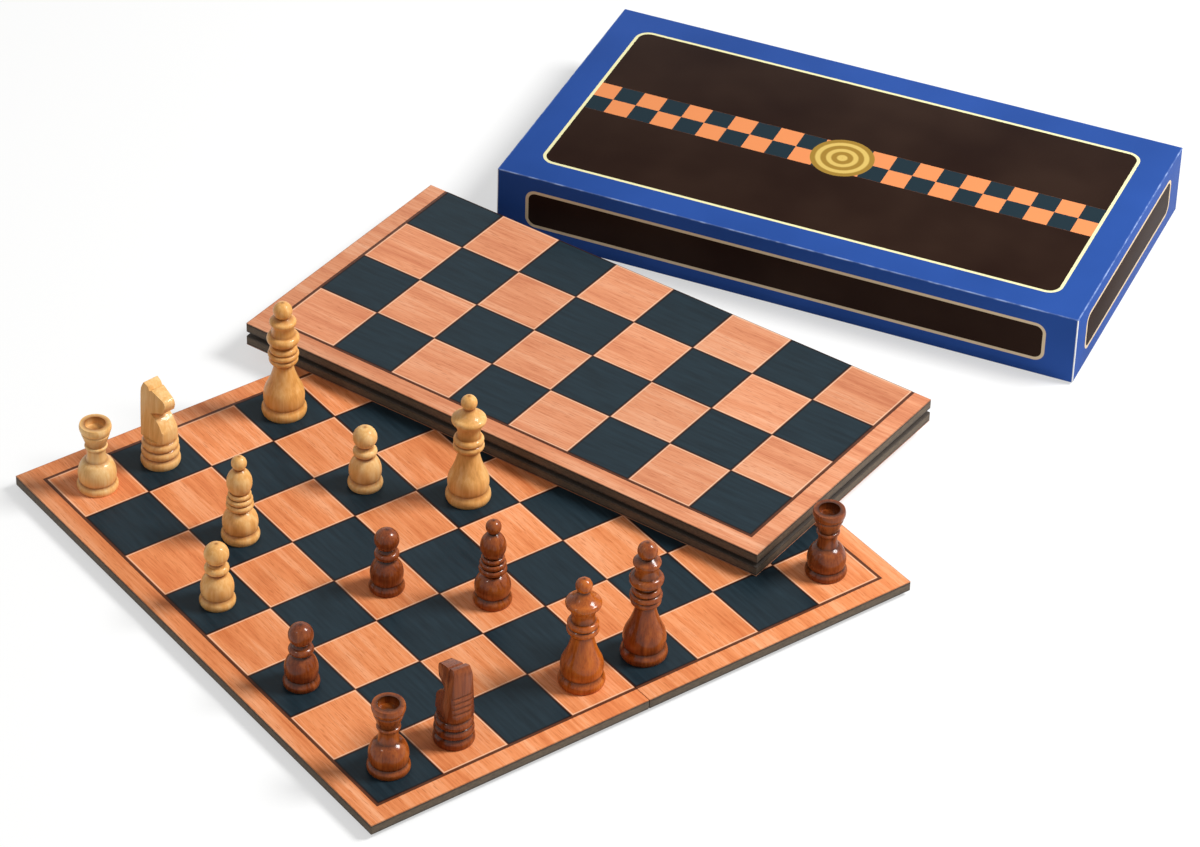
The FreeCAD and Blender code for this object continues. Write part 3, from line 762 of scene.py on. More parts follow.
@dataclass(frozen=True)
class Fibreboard:
    """The cores of the leaves, pressed, sawn and stained at the edges; sizes in millimetres."""

    layer: tuple = (2.0, 2.0, 0.56)
    speck: float = 0.45
    layer_share: float = 0.7
    skin_range: tuple = (1.2, 2.4)
    skin_cover: float = 0.35
    roughness: float = 0.8
    relief: float = 0.15
    relief_strength: float = 0.7

    def material(self) -> Material:
        """Make the board, layered along its edges.

        Returns:
            The material.
        """
        # Sawn fibreboard: dull, brown and mottled, darker towards its pressed skins.
        # Fibres are about 0.05 mm thick and are drawn at half a millimetre, so that they show.
        shade = Shade("sawn_fibreboard")
        add = shade.add
        own = add(Op.VECTOR_OF, attribute_name=OWN)
        layers = shade.grain(own, self.layer, detail=5.0)
        specks = add(Op.NOISE, own, *per_mm(self.speck), 3.0)
        middle = BOARD.underside + BOARD.core / 2
        depth = add(Op.ABSOLUTE, add(Op.SUBTRACT, add(Op.SPLIT, own)[2], middle))
        skin = add(Op.SPAN, depth, *self.skin_range, 0.0, self.skin_cover)
        tone = add(Op.SUBTRACT, shade.blend(layers, specks, self.layer_share), skin)
        stops = ((0.2, Colour.FIBRE_LOW), (0.72, Colour.FIBRE_HIGH))
        return shade.surface(
            Base_Color=add(Op.RAMP, tone, stops=stops), Roughness=self.roughness,
            Normal=add(Op.BUMP, specks, self.relief * MM, self.relief_strength),
        )


@dataclass(frozen=True)
class Felt:
    """The feet, punched from pressed wool felt; sizes are in millimetres."""

    tuft: float = 0.42
    roughness: float = 0.95
    sheen: float = 0.5
    relief: float = 0.35
    relief_strength: float = 0.9

    def material(self) -> Material:
        """Make the felt.

        Returns:
            The material.
        """
        # Pressed wool: dark and matt with a soft bloom at its edges. Hairs are about 0.03 mm
        # thick, so tufts of 0.4 mm stand for them.
        shade = Shade("pressed_wool_felt")
        fluff = shade.add(Op.NOISE, shade.place_mm(), *per_mm(self.tuft), 6.0, 1.5)
        stops = ((0.3, Colour.FELT_LOW), (0.75, Colour.FELT_HIGH))
        return shade.surface(
            Base_Color=shade.add(Op.RAMP, fluff, stops=stops),
            Roughness=self.roughness, Sheen_Weight=self.sheen,
            Normal=shade.add(Op.BUMP, fluff, self.relief * MM, self.relief_strength),
        )


@dataclass(frozen=True)
class BrushedSteel:
    """Plated steel, brushed one way; sizes are in millimetres."""

    name: str
    roughness: float
    brush_mark: tuple = (5.0, 0.167, 0.167)
    roughness_spread: float = 0.2
    relief: float = 0.03
    relief_strength: float = 0.5

    def material(self) -> Material:
        """Make the steel.

        Returns:
            The material.
        """
        # Nickel-plated mild steel: warm grey metal with a long soft glint. Brush marks are
        # about 0.02 mm wide and are drawn at 0.17 mm, so that they show.
        shade = Shade(self.name)
        brushing = shade.grain(shade.place_mm(), self.brush_mark, detail=4.0)
        stops = ((0.3, Colour.STEEL_DARK), (0.65, Colour.STEEL))
        return shade.surface(
            Base_Color=shade.add(Op.RAMP, brushing, stops=stops), Metallic=1.0,
            Roughness=shade.add(Op.SPAN, brushing, SOFT_LOW, SOFT_HIGH, self.roughness,
                                self.roughness + self.roughness_spread),
            Normal=shade.add(Op.BUMP, brushing, self.relief * MM, self.relief_strength),
        )


@dataclass(frozen=True)
class PrintedCard:
    """The box's card, wrapped in laminated print and lined inside; sizes in millimetres."""

    name: str
    node: str
    panel_margin: float = 17.0
    panel_corner: float = 7.0
    line: float = 1.7
    side_margin: float = 9.0
    side_corner: float = 5.0
    check: float = 13.0
    check_rows: int = 2
    disc: float = 17.0
    disc_ring: float = 5.7
    ring_range: tuple = (-0.3, 0.5)
    blur: float = 0.1
    face: tuple = (0.7, 0.3)
    seam: float = 1.1
    seam_blur: float = 0.3
    seam_cover: float = 0.85
    # Where the painted highlight lies along the edges and corners, and its patches
    highlight_edge: tuple = (0.75, 0.25)
    highlight_patch: float = 6.25
    highlight_range: tuple = (0.42, 0.62)
    highlight_cover: tuple = (0.15, 0.8)
    wrap: tuple = (0.5, 0.9)
    fibre: float = 0.62
    cloud: float = 50.0
    cloud_relief: float = 2.0
    roughness: tuple = (0.40, 0.85)
    specular: float = 0.015
    relief: float = 0.05
    relief_strength: float = 0.5

    def inside(self, shade: Shade, distance: Socket, limit: float = 0.0) -> Socket:
        """Return a mask of what is nearer than a limit, with a slightly soft edge."""
        return shade.add(Op.SPAN, distance, limit + self.blur, limit - self.blur)

    def framed(self, shade: Shade, base: Socket, distance: Socket, facing: Socket, art: Socket,
               line: Colour) -> Socket:
        """Lay a panel with its outline over a colour.

        Args:
            shade: the material under construction.
            base: the colour round the panel.
            distance: how far a place is from the panel's edge, negative inside.
            facing: mask of the side of the box that has the panel.
            art: what fills the panel.
            line: colour of its outline.

        Returns:
            The new colour.
        """
        add = shade.add
        panel = shade.both(self.inside(shade, distance), facing)
        ring = self.inside(shade, add(Op.ABSOLUTE, distance), self.line / 2)
        filled = add(Op.MIX, panel, base, art)
        return add(Op.MIX, shade.both(ring, facing), filled, line)

    def lid_top(self, shade: Shade, x: Socket, y: Socket, panel: Socket) -> Socket:
        """Draw what fills the panel on top of the lid.

        Args:
            shade: the material under construction.
            x: the place along the lid from its middle.
            y: the place across the lid.
            panel: the panel's own colour.

        Returns:
            The panel with a ribbon of squares and a plain ringed disc.
        """
        add = shade.add
        cells = [add(Op.FLOOR, add(Op.DIVIDE, value, self.check)) for value in (x, y)]
        odd = add(Op.REMAINDER, add(Op.ADD, *cells), 2.0)
        squares = add(Op.MIX, odd, Colour.SLATE_HIGH, Colour.PRINT)
        on_ribbon = self.inside(shade, add(Op.ABSOLUTE, y), self.check_rows * self.check / 2)
        ribbon = add(Op.MIX, on_ribbon, panel, squares)
        radius = add(Op.ROOT, add(Op.ADD, add(Op.MULTIPLY, x, x), add(Op.MULTIPLY, y, y)))
        wave = add(Op.SINE, add(Op.MULTIPLY, radius, *per_mm(self.disc_ring / FULL_TURN)))
        gold = add(Op.MIX, add(Op.SPAN, wave, *self.ring_range), Colour.GOLD_LOW, Colour.GOLD)
        return add(Op.MIX, self.inside(shade, radius, self.disc), ribbon, gold)

    def material(self) -> Material:
        """Make the card of the tray or the lid, printed where that node lies.

        Returns:
            The material.
        """
        # Grey card wrapped in blue laminated paper: an even satin blue with dark framed panels,
        # painted highlight in pale patches on edges and corners, a raw seam at the ends, matt paper
        # inside.
        # Paper fibres are about 0.02 mm thick and are drawn at 0.6 mm, so that they show.
        shade = Shade(self.name)
        add = shade.add
        place = shade.place_mm()
        x, y, z = add(Op.SPLIT, place)
        low, high = (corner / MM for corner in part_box(self.node))
        far_x, far_y = (add(Op.ABSOLUTE, value) for value in (x, y))

        def from_face(value: Socket, face: float, first: float, last: float) -> Socket:
            """Return a mask that rises between two depths under a face."""
            return add(Op.SPAN, value, face - first, face - last)

        fibres = add(Op.NOISE, place, *per_mm(self.fibre), 4.0)
        clouds = add(Op.NOISE, place, *per_mm(self.cloud), 2.0)
        blue, panel = (
            add(Op.RAMP, clouds, stops=((SOFT_LOW, dark), (SOFT_HIGH, pale)))
            for dark, pale in ((Colour.BLUE_LOW, Colour.BLUE), (Colour.PANEL, Colour.PANEL_HIGH)))
        below_top = from_face(z, high.z, *reversed(self.face))
        on_long, on_short = (shade.both(from_face(far, half, *self.face), below_top)
                             for far, half in ((far_y, high.y), (far_x, high.x)))
        colour = blue
        if self.node == "box_lid":
            half_x, half_y = high.x - self.panel_margin, high.y - self.panel_margin
            half_z = (high.z - low.z) / 2 - self.side_margin
            height = add(Op.SUBTRACT, z, (low.z + high.z) / 2)
            whole = shade.rounded_box(x, y, half_x, half_y, self.panel_corner)
            front = shade.rounded_box(x, height, half_x, half_z, self.side_corner)
            end = shade.rounded_box(y, height, half_y, half_z, self.side_corner)
            on_top = from_face(z, high.z, *self.face)
            for distance, facing, art, line in (
                (whole, on_top, self.lid_top(shade, x, y, panel), Colour.FRAME_LINE),
                (front, on_long, panel, Colour.SIDE_LINE),
                (end, on_short, panel, Colour.SIDE_LINE),
            ):
                colour = self.framed(shade, colour, distance, facing, art, line)
        # Painted highlight: pale blue in patches along the edges and corners
        near_x, near_y, near_top = (
            from_face(far, half, *self.highlight_edge)
            for far, half in ((far_x, high.x), (far_y, high.y), (z, high.z)))
        corner = add(Op.MAXIMUM, shade.both(near_x, near_y),
                     shade.both(near_top, add(Op.MAXIMUM, near_x, near_y)))
        patches = add(Op.NOISE, place, *per_mm(self.highlight_patch), 4.0)
        wear_and_highlight = shade.both(corner, add(Op.SPAN, patches, *self.highlight_range, *self.highlight_cover))
        highlighted = add(Op.MIX, wear_and_highlight, colour, Colour.WORN_BLUE)
        seam = shade.both(on_short, from_face(far_y, high.y, self.seam, self.seam - self.seam_blur))
        seamed = add(Op.MIX, add(Op.MULTIPLY, seam, self.seam_cover), highlighted, Colour.RAW_CARD)
        lined = shade.both(
            *(from_face(far, half, *self.wrap)
              for far, half in ((far_x, high.x), (far_y, high.y), (z, high.z))),
            add(Op.SPAN, z, *self.wrap))
        lining = add(Op.RAMP, fibres, stops=(
            (SOFT_LOW, Colour.LINING_LOW), (SOFT_HIGH, Colour.LINING)))
        relief = add(Op.ADD, fibres, add(Op.MULTIPLY, clouds, self.cloud_relief))
        return shade.surface(
            Base_Color=add(Op.MIX, lined, seamed, lining),
            Roughness=add(Op.SPAN, lined, 0.0, 1.0, *self.roughness),
            Normal=add(Op.BUMP, relief, self.relief * MM, self.relief_strength),
            Specular_IOR_Level=self.specular,
        )


@dataclass(frozen=True)
class PlainCard:
    """Uncoated card or paper, rolled and cut; sizes are in millimetres."""

    name: str
    low: Colour
    high: Colour
    fibre: tuple = (0.83, 0.83, 0.42)
    roughness: float = 0.9
    relief: float = 0.08
    relief_strength: float = 0.7

    def material(self) -> Material:
        """Make the card.

        Returns:
            The material.
        """
        # Uncoated pulp: matt and slightly cloudy. Its fibres are about 0.02 mm thick, so
        # clouds of half a millimetre and more stand for them.
        shade = Shade(self.name)
        fibres = shade.grain(shade.place_mm(), self.fibre, detail=6.0, warp=0.6)
        stops = ((SOFT_LOW, self.low), (SOFT_HIGH, self.high))
        return shade.surface(
            Base_Color=shade.add(Op.RAMP, fibres, stops=stops), Roughness=self.roughness,
            Normal=shade.add(Op.BUMP, fibres, self.relief * MM, self.relief_strength),
        )


@dataclass(frozen=True)
class Finishes:
    """Every material of the set."""

    man: dict[Side, Material]
    field: dict[BoardState, Material]
    border: dict[BoardState, Material]
    fibre: Material
    felt: Material
    hinge: Material
    screw: Material
    lid: Material
    tray: Material
    stay: Material
    grey: Material

    @classmethod
    def make(cls) -> "Finishes":
        """Build the materials once.

        Returns:
            All of them, the woods by side and the printed papers by board.
        """
        sheets = (OPEN_SHEET, FOLDED_SHEET)
        return cls(
            {Side.LIGHT: BOXWOOD.material(), Side.DARK: STAINED_WOOD.material()},
            {sheet.board: sheet.field() for sheet in sheets},
            {sheet.board: sheet.border() for sheet in sheets},
            Fibreboard().material(), Felt().material(),
            BrushedSteel("hinge_brushed_steel", 0.30).material(),
            BrushedSteel("screw_brushed_steel", 0.22).material(),
            PrintedCard("lid_laminated_card", "box_lid").material(),
            PrintedCard("tray_laminated_card", "box_base").material(),
            PlainCard("stay_uncoated_paper", Colour.LINING_LOW, Colour.RAW_CARD).material(),
            PlainCard("grey_uncoated_card", Colour.GREY_CARD_LOW, Colour.GREY_CARD).material(),
        )


# Meshes

EASE_STEPS = 3
FLAT_SHARP = 30.0
TURNED_SHARP = 38.0


def new_piece(name: str, mesh: Mesh, material: Material | None = None) -> Piece:
    """Put a mesh in the scene.

    Args:
        name: name of the piece.
        mesh: its shape.
        material: its one material, or none to keep what the mesh has.

    Returns:
        The piece.
    """
    piece = bpy.data.objects.new(name, mesh)
    bpy.context.scene.collection.objects.link(piece)
    if material is not None:
        mesh.materials.clear()
        mesh.materials.append(material)
    return piece


def discard(piece: Piece) -> None:
    """Take a piece that was only a tool out of the scene, with its mesh.

    Args:
        piece: what to remove.
    """
    mesh = piece.data
    bpy.data.objects.remove(piece)
    bpy.data.meshes.remove(mesh)


def evaluated(piece: Piece) -> Mesh:
    """Turn a piece's modifiers into a plain mesh.

    Args:
        piece: a piece with modifiers.

    Returns:
        A new mesh with their result.
    """
    depsgraph = bpy.context.evaluated_depsgraph_get()
    return bpy.data.meshes.new_from_object(piece.evaluated_get(depsgraph), depsgraph=depsgraph)


def mark_own(mesh: Mesh, offset: Vector = Vector()) -> None:
    """Keep each point's place on its own piece, for the grain to follow.

    Args:
        mesh: a mesh that is still in its own frame.
        offset: how far its grain is moved, in millimetres.
    """
    layer = mesh.attributes.get(OWN) or mesh.attributes.new(OWN, "FLOAT_VECTOR", "POINT")
    for value, vertex in zip(layer.data, mesh.vertices):
        value.vector = vertex.co / MM + offset


def smooth(mesh: Mesh, sharp_from: float) -> None:
    """Shade a mesh smoothly.

    Args:
        mesh: the mesh.
        sharp_from: angle in degrees from which an edge stays sharp.
    """
    mesh.shade_smooth()
    mesh.set_sharp_from_angle(angle=math.radians(sharp_from))


def mesh_of(name: str, shape: Shape) -> Mesh:
    """Turn a shape into a mesh with its faces outwards, and free it.

    Args:
        name: name of the mesh.
        shape: a closed shape.

    Returns:
        The mesh.
    """
    bmesh.ops.recalc_face_normals(shape, faces=shape.faces)
    mesh = bpy.data.meshes.new(name)
    shape.to_mesh(mesh)
    shape.free()
    return mesh


def block(shape: Shape, low: Vector, high: Vector) -> None:
    """Add a block to a shape.

    Args:
        shape: what it is added to.
        low: its lowest corner.
        high: its highest corner.
    """
    for vertex in bmesh.ops.create_cube(shape, size=1.0)["verts"]:
        vertex.co = Vector(low[i] if vertex.co[i] < 0 else high[i] for i in range(3))


def cylinder(shape: Shape, segments: int, radius: float, depth: float) -> list:
    """Add a closed cylinder about the Z axis, with its middle at the origin.

    Args:
        shape: what it is added to.
        segments: number of its sides.
        radius: in millimetres.
        depth: in millimetres.

    Returns:
        Its points.
    """
    return bmesh.ops.create_cone(shape, cap_ends=True, segments=segments, depth=depth * MM,
                                 radius1=radius * MM, radius2=radius * MM)["verts"]


def walls(shape: Shape, first: list, second: list) -> None:
    """Join two closed rings of points with a wall.

    Args:
        shape: what it is added to.
        first: points of one ring.
        second: points of the other, in the same order.
    """
    for one in range(len(first)):
        two = (one + 1) % len(first)
        shape.faces.new((first[one], first[two], second[two], second[one]))


def rounded(name: str, shape: Shape, width: float) -> Piece:
    """Make a piece whose edges are rounded.

    Args:
        name: name of the piece.
        shape: its sharp shape.
        width: size of the rounding, in millimetres.

    Returns:
        The piece, with the rounding in its mesh.
    """
    sharp = new_piece(name, mesh_of(name, shape))
    bevel = sharp.modifiers.new("bevel", "BEVEL")
    bevel.width = width * MM
    bevel.segments = EASE_STEPS
    bevel.limit_method = "ANGLE"
    bevel.harden_normals = False
    mesh, old = evaluated(sharp), sharp.data
    sharp.modifiers.clear()
    sharp.data = mesh
    bpy.data.meshes.remove(old)
    return sharp


def arc_points(first: Vector, middle: Vector, last: Vector, steps: int) -> list[Vector]:
    """Lay points along the arc through three points.

    Args:
        first: where the arc starts.
        middle: a place that it goes through.
        last: where it ends.
        steps: number of points.

    Returns:
        The points, without the first.
    """
    a, b = middle - first, last - first
    twice = 2 * (a.x * b.y - a.y * b.x)
    reach = Vector((b.y * a.length_squared - a.y * b.length_squared,
                    a.x * b.length_squared - b.x * a.length_squared)) / twice
    centre = first + reach
    start, way, end = (math.atan2(point.y - centre.y, point.x - centre.x)
                       for point in (first, middle, last))
    forward = (way - start) % FULL_TURN < (end - start) % FULL_TURN
    sweep = (end - start) % FULL_TURN if forward else -((start - end) % FULL_TURN)
    turns = [start + sweep * step / steps for step in range(1, steps + 1)]
    return [centre + reach.length * Vector((math.cos(turn), math.sin(turn))) for turn in turns]


def outline_points(start: tuple, outline: Sequence, man: Man, steps: int = 12) -> list[Vector]:
    """Draw an outline to size.

    Args:
        start: its first place, in shares of a half base and a height.
        outline: its steps, in the same shares.
        man: the man that gives the base and the height.
        steps: number of points along an arc.

    Returns:
        The points, in millimetres.
    """
    def spot(share: tuple) -> Vector:
        """Return a place in millimetres."""
        return Vector((share[0] * man.base / 2, share[1] * man.height))

    points = [spot(start)]
    for step in outline:
        here, there = points[-1], spot(step[-1])
        if len(step) == 1:
            points.append(there)
        elif step[0] is ROUND_TOP:
            rise = there.y - here.y
            radius = (here.x ** 2 + rise ** 2) / (2 * rise)
            points += arc_points(here, Vector((radius, there.y - radius)), there, steps * 2)
        else:
            points += arc_points(here, spot(step[0]), there, steps)
    return points


def groove_depths(points: list[Vector], reach: float = 1.6, deepest: float = 0.8) -> list[float]:
    """Work out how deep each point of an outline lies between its rings, for their painted shade.

    Args:
        points: outline points, in millimetres.
        reach: distance along the outline to the neighbours that it is held against.
        deepest: depth that counts as one.

    Returns:
        Depths from nought to one.
    """
    run = [0.0]
    for one, two in zip(points, points[1:]):
        run.append(run[-1] + (two - one).length)

    def radius_at(distance: float) -> float:
        """Look up the radius at a place on the outline.

        Args:
            distance: how far along the outline it is.

        Returns:
            The radius there.
        """
        number = next((i for i in range(1, len(run)) if run[i] >= distance), len(run) - 1)
        share = (distance - run[number - 1]) / max(run[number] - run[number - 1], 1e-9)
        share = min(max(share, 0.0), 1.0)
        return points[number - 1].x + (points[number].x - points[number - 1].x) * share

    depths = []
    for here, point in zip(run, points):
        around = (radius_at(here - reach) + radius_at(here + reach)) / 2
        depths.append(min(max((around - point.x) / deepest, 0.0), 1.0))
    return depths


# Places in the frame


def body_with(node: str) -> str:
    """Return the body that a node belongs to."""
    return frame["nodes"][node]["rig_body"]


def bind(piece: Piece, node: str) -> Piece:
    """Let a finished piece stand in for a node and move with its body.

    Args:
        piece: a piece at its place.
        node: the node that it replaces.

    Returns:
        The piece.
    """
    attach(piece, body_with(node))
    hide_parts(node)
    return piece


def dress_node(node: str, material: Material) -> Piece:
    """Give a node that stays as it is its material.

    Args:
        node: name of the node.
        material: what it is made of.

    Returns:
        The node's own piece.
    """
    piece = frame["nodes"][node]
    piece.data.materials.clear()
    piece.data.materials.append(material)
    return piece


def board_place(joint: str, sign: float) -> Matrix:
    """Work out a board's place from its hinge.

    Args:
        joint: name of the hinge's joint.
        sign: which way along the joint's axis the board's Y points.

    Returns:
        The place, with Y along the hinge.
    """
    hinge = next(row for row in frame["joints"] if row["name"] == joint)
    along = Vector(hinge["axis"]) * sign
    turn = math.atan2(-along.x, along.y)
    return Matrix.Translation(hinge["pos_m"]) @ Matrix.Rotation(turn, 4, "Z")


# Geometry node groups


def new_group(name: str, sockets: dict[str, str]) -> Graph:
    """Start a geometry node group with one geometry output.

    Args:
        name: name of the group.
        sockets: its inputs, from name to the kind of value.

    Returns:
        The group's tree, under construction.
    """
    tree = bpy.data.node_groups.new(name, "GeometryNodeTree")
    for socket, kind in {"Geometry": "Geometry", **sockets, "Material": "Material"}.items():
        tree.interface.new_socket(socket, in_out="INPUT", socket_type=f"NodeSocket{kind}")
    tree.interface.new_socket("Geometry", in_out="OUTPUT", socket_type="NodeSocketGeometry")
    return Graph(tree)


def end_group(graph: Graph, copies: Socket, material: Socket) -> bpy.types.NodeTree:
    """End a group in real, painted copies.

    Args:
        graph: the group under construction.
        copies: what it has laid out.
        material: its material.

    Returns:
        The finished group.
    """
    graph.add(Op.RESULT, graph.add(Op.PAINT, graph.add(Op.REALISE, copies), material))
    return graph.tree


def run_group(name: str, tree: bpy.types.NodeTree, points: list, values: dict[str, Any]) -> Mesh:
    """Run a geometry node group on a few points.

    Args:
        name: name of the piece that carries the group for a moment.
        tree: the group.
        points: where it starts from, in metres.
        values: its inputs by name.

    Returns:
        The mesh that it makes.
    """
    mesh = bpy.data.meshes.new(name)
    mesh.from_pydata(points, [], [])
    piece = new_piece(name, mesh)
    modifier = piece.modifiers.new("nodes", "NODES")
    modifier.node_group = tree
    for item in tree.interface.items_tree:
        if item.in_out == "INPUT" and item.name in values:
            modifier[item.identifier] = values[item.name]
    result = evaluated(piece)
    discard(piece)
    return result


def chequer_group() -> bpy.types.NodeTree:
    """Make the group that lays out a leaf's squares, with a tone and a chance for each.

    Returns:
        The group.
    """
    graph = new_group("chequer_squares", {
        "Square": "Float", "Files": "Int", "Ranks": "Int", "First": "Int", "Seed": "Int"})
    add = graph.add
    given = add(Op.GIVEN)
    axes = ("Files", "Ranks")
    square = given["Square"]
    spans = [add(Op.MULTIPLY, add(Op.SUBTRACT, given[axis], 1.0), square) for axis in axes]
    grid = add(Op.GRID, *spans, *(given[axis] for axis in axes))
    tile = add(Op.GRID, square, square, 2, 2)
    marked = add(Op.STORE, tile["Mesh"], SQUARE_UV, tile["UV Map"],
                 data_type="FLOAT_VECTOR", domain="CORNER")
    copies = add(Op.COPIES, grid["Mesh"], marked)
    place = add(Op.SPLIT, add(Op.POINT))
    counts = []
    for here, span in zip(place, spans):
        from_corner = add(Op.ADD, here, add(Op.MULTIPLY, span, 0.5))
        counts.append(add(Op.ROUND, add(Op.DIVIDE, from_corner, square)))
    total = add(Op.ADD, add(Op.ADD, *counts), given["First"])
    tone = add(Op.REMAINDER, total, 2.0)
    chance = add(Op.CHANCE, given["Seed"])
    for name, value in ((TONE, tone), (SHADE, chance)):
        copies = add(Op.STORE, copies, name, value, data_type="FLOAT", domain="INSTANCE")
    return end_group(graph, copies, given["Material"])


def copies_group() -> bpy.types.NodeTree:
    """Make the group that puts a copy of one piece on every point, each turned at random.

    Returns:
        The group.
    """
    graph = new_group("placed_copies", {"Piece": "Object", "Seed": "Int"})
    given = graph.add(Op.GIVEN)
    turn = graph.add(Op.TURN, (0, 0, FULL_TURN), given["Seed"])
    pattern = graph.add(Op.PATTERN, given["Piece"])
    copies = graph.add(Op.COPIES, given["Geometry"], pattern, turn)
    return end_group(graph, copies, given["Material"])


# Sub-assemblies

GRAIN_STEP = Vector((37.0, 53.0, 91.0))


@dataclass(frozen=True)
class Chessman:
    """One turned man, built round the Z axis and put in its place."""

    name: str
    kind: Kind
    seed: int
    stain: float
    lathe_steps: int = 72
    merged: float = 0.002

    def turned(self) -> Shape:
        """Spin the half outline about the axis.

        Returns:
            The turned shape, with the depth of its grooves for their painted shade.
        """
        man = MEN[self.kind]
        shape = bmesh.new()
        points = outline_points((0.0, 0.0), man.outline, man)
        # Each point keeps how deep its groove is, for the painted shade there
        depth = shape.verts.layers.float.new(GROOVE_SHADE)
        line = [shape.verts.new((point.x * MM, 0.0, point.y * MM)) for point in points]
        for vertex, value in zip(line, groove_depths(points)):
            vertex[depth] = value
        edges = [shape.edges.new(pair) for pair in zip(line, line[1:])]
        bmesh.ops.spin(shape, geom=line + edges, cent=(0, 0, 0), axis=(0, 0, 1),
                       angle=FULL_TURN, steps=self.lathe_steps, use_merge=True)
        bmesh.ops.remove_doubles(shape, verts=shape.verts, dist=MM * self.merged)
        return shape

    def head(self) -> Mesh:
        """Saw the knight's head out of a round blank and ease its edges.

        Returns:
            The head over its collar.
        """
        man = MEN[Kind.KNIGHT]
        first, *steps = KNIGHT_HEAD
        points = outline_points(first[0], (*KNIGHT.mane(), *steps), man, KNIGHT.arc_steps)
        shape = bmesh.new()
        cheeks = [[shape.verts.new((p.x * MM, side * KNIGHT.half_width(*p) * MM, p.y * MM))
                   for p in points] for side in (-1, 1)]
        for cheek in cheeks:
            shape.faces.new(cheek)
        walls(shape, *cheeks)
        head = new_piece("knight_head", mesh_of("knight_head", shape))
        round_shape = bmesh.new()
        cylinder(round_shape, self.lathe_steps, KNIGHT.blank / 2,
                 KNIGHT.blank_lengths * man.height)
        blank = new_piece("knight_blank", mesh_of("knight_blank", round_shape))
        saw = head.modifiers.new("saw", "BOOLEAN")
        saw.operation = "INTERSECT"
        saw.solver = "EXACT"
        saw.object = blank
        ease = head.modifiers.new("ease", "BEVEL")
        ease.width = KNIGHT.eased * MM
        ease.segments = EASE_STEPS
        ease.limit_method = "ANGLE"
        ease.angle_limit = KNIGHT.eased_from
        mesh = evaluated(head)
        discard(head)
        discard(blank)
        return mesh

    def mesh(self) -> Mesh:
        """Build the whole man standing at the origin.

        Returns:
            Its mesh, with its grain and its stain.
        """
        shape = self.turned()
        if self.kind is Kind.KNIGHT:
            head = self.head()
            shape.from_mesh(head)
            bpy.data.meshes.remove(head)
        mesh = mesh_of(self.name, shape)
        smooth(mesh, TURNED_SHARP)
        mark_own(mesh, GRAIN_STEP * self.seed)
        stain = mesh.attributes.new(STAIN, "FLOAT", "POINT")
        stain.data.foreach_set("value", [self.stain] * len(mesh.vertices))
        return mesh

    def build(self, places: list[Matrix], finishes: Finishes) -> Piece:
        """Put copies of the man at their places, as one piece for the node of its name.

        Args:
            places: where each copy goes.
            finishes: the materials.

        Returns:
            The piece.
        """
        shape = bmesh.new()
        for number, place in enumerate(places):
            mesh = replace(self, seed=self.seed + number).mesh()
            mesh.transform(place)
            shape.from_mesh(mesh)
            bpy.data.meshes.remove(mesh)
        joined = bpy.data.meshes.new(self.name)
        shape.to_mesh(joined)
        shape.free()
        side = Side.LIGHT if "light" in self.name else Side.DARK
        piece = new_piece(f"{self.name}_turned", joined, finishes.man[side])
        return bind(piece, self.name)


@dataclass(frozen=True)
class LeafPieces:
    """Sizes of the small pieces under a leaf, in millimetres."""

    foot_radius: float = 4.5
    foot_height: float = 2.35
    foot_round: float = 0.4
    foot_sides: int = 48
    foot_seam: float = 24.0
    foot_edge: float = 18.0
    foot_end: float = 20.0
    foot_stagger: float = 16.0
    hinge_offset: float = 92.0
    hinge_plate: float = 0.8
    screw_spacing: float = 20.0
    screw_place: float = 6.9
    head_radius: float = 1.8
    head_height: float = 0.45
    head_steps: int = 12
    shank_radius: float = 0.8
    shank_end: float = 3.6
    shank_sides: int = 32
    slot_width: float = 0.5
    slot_depth: float = 0.22


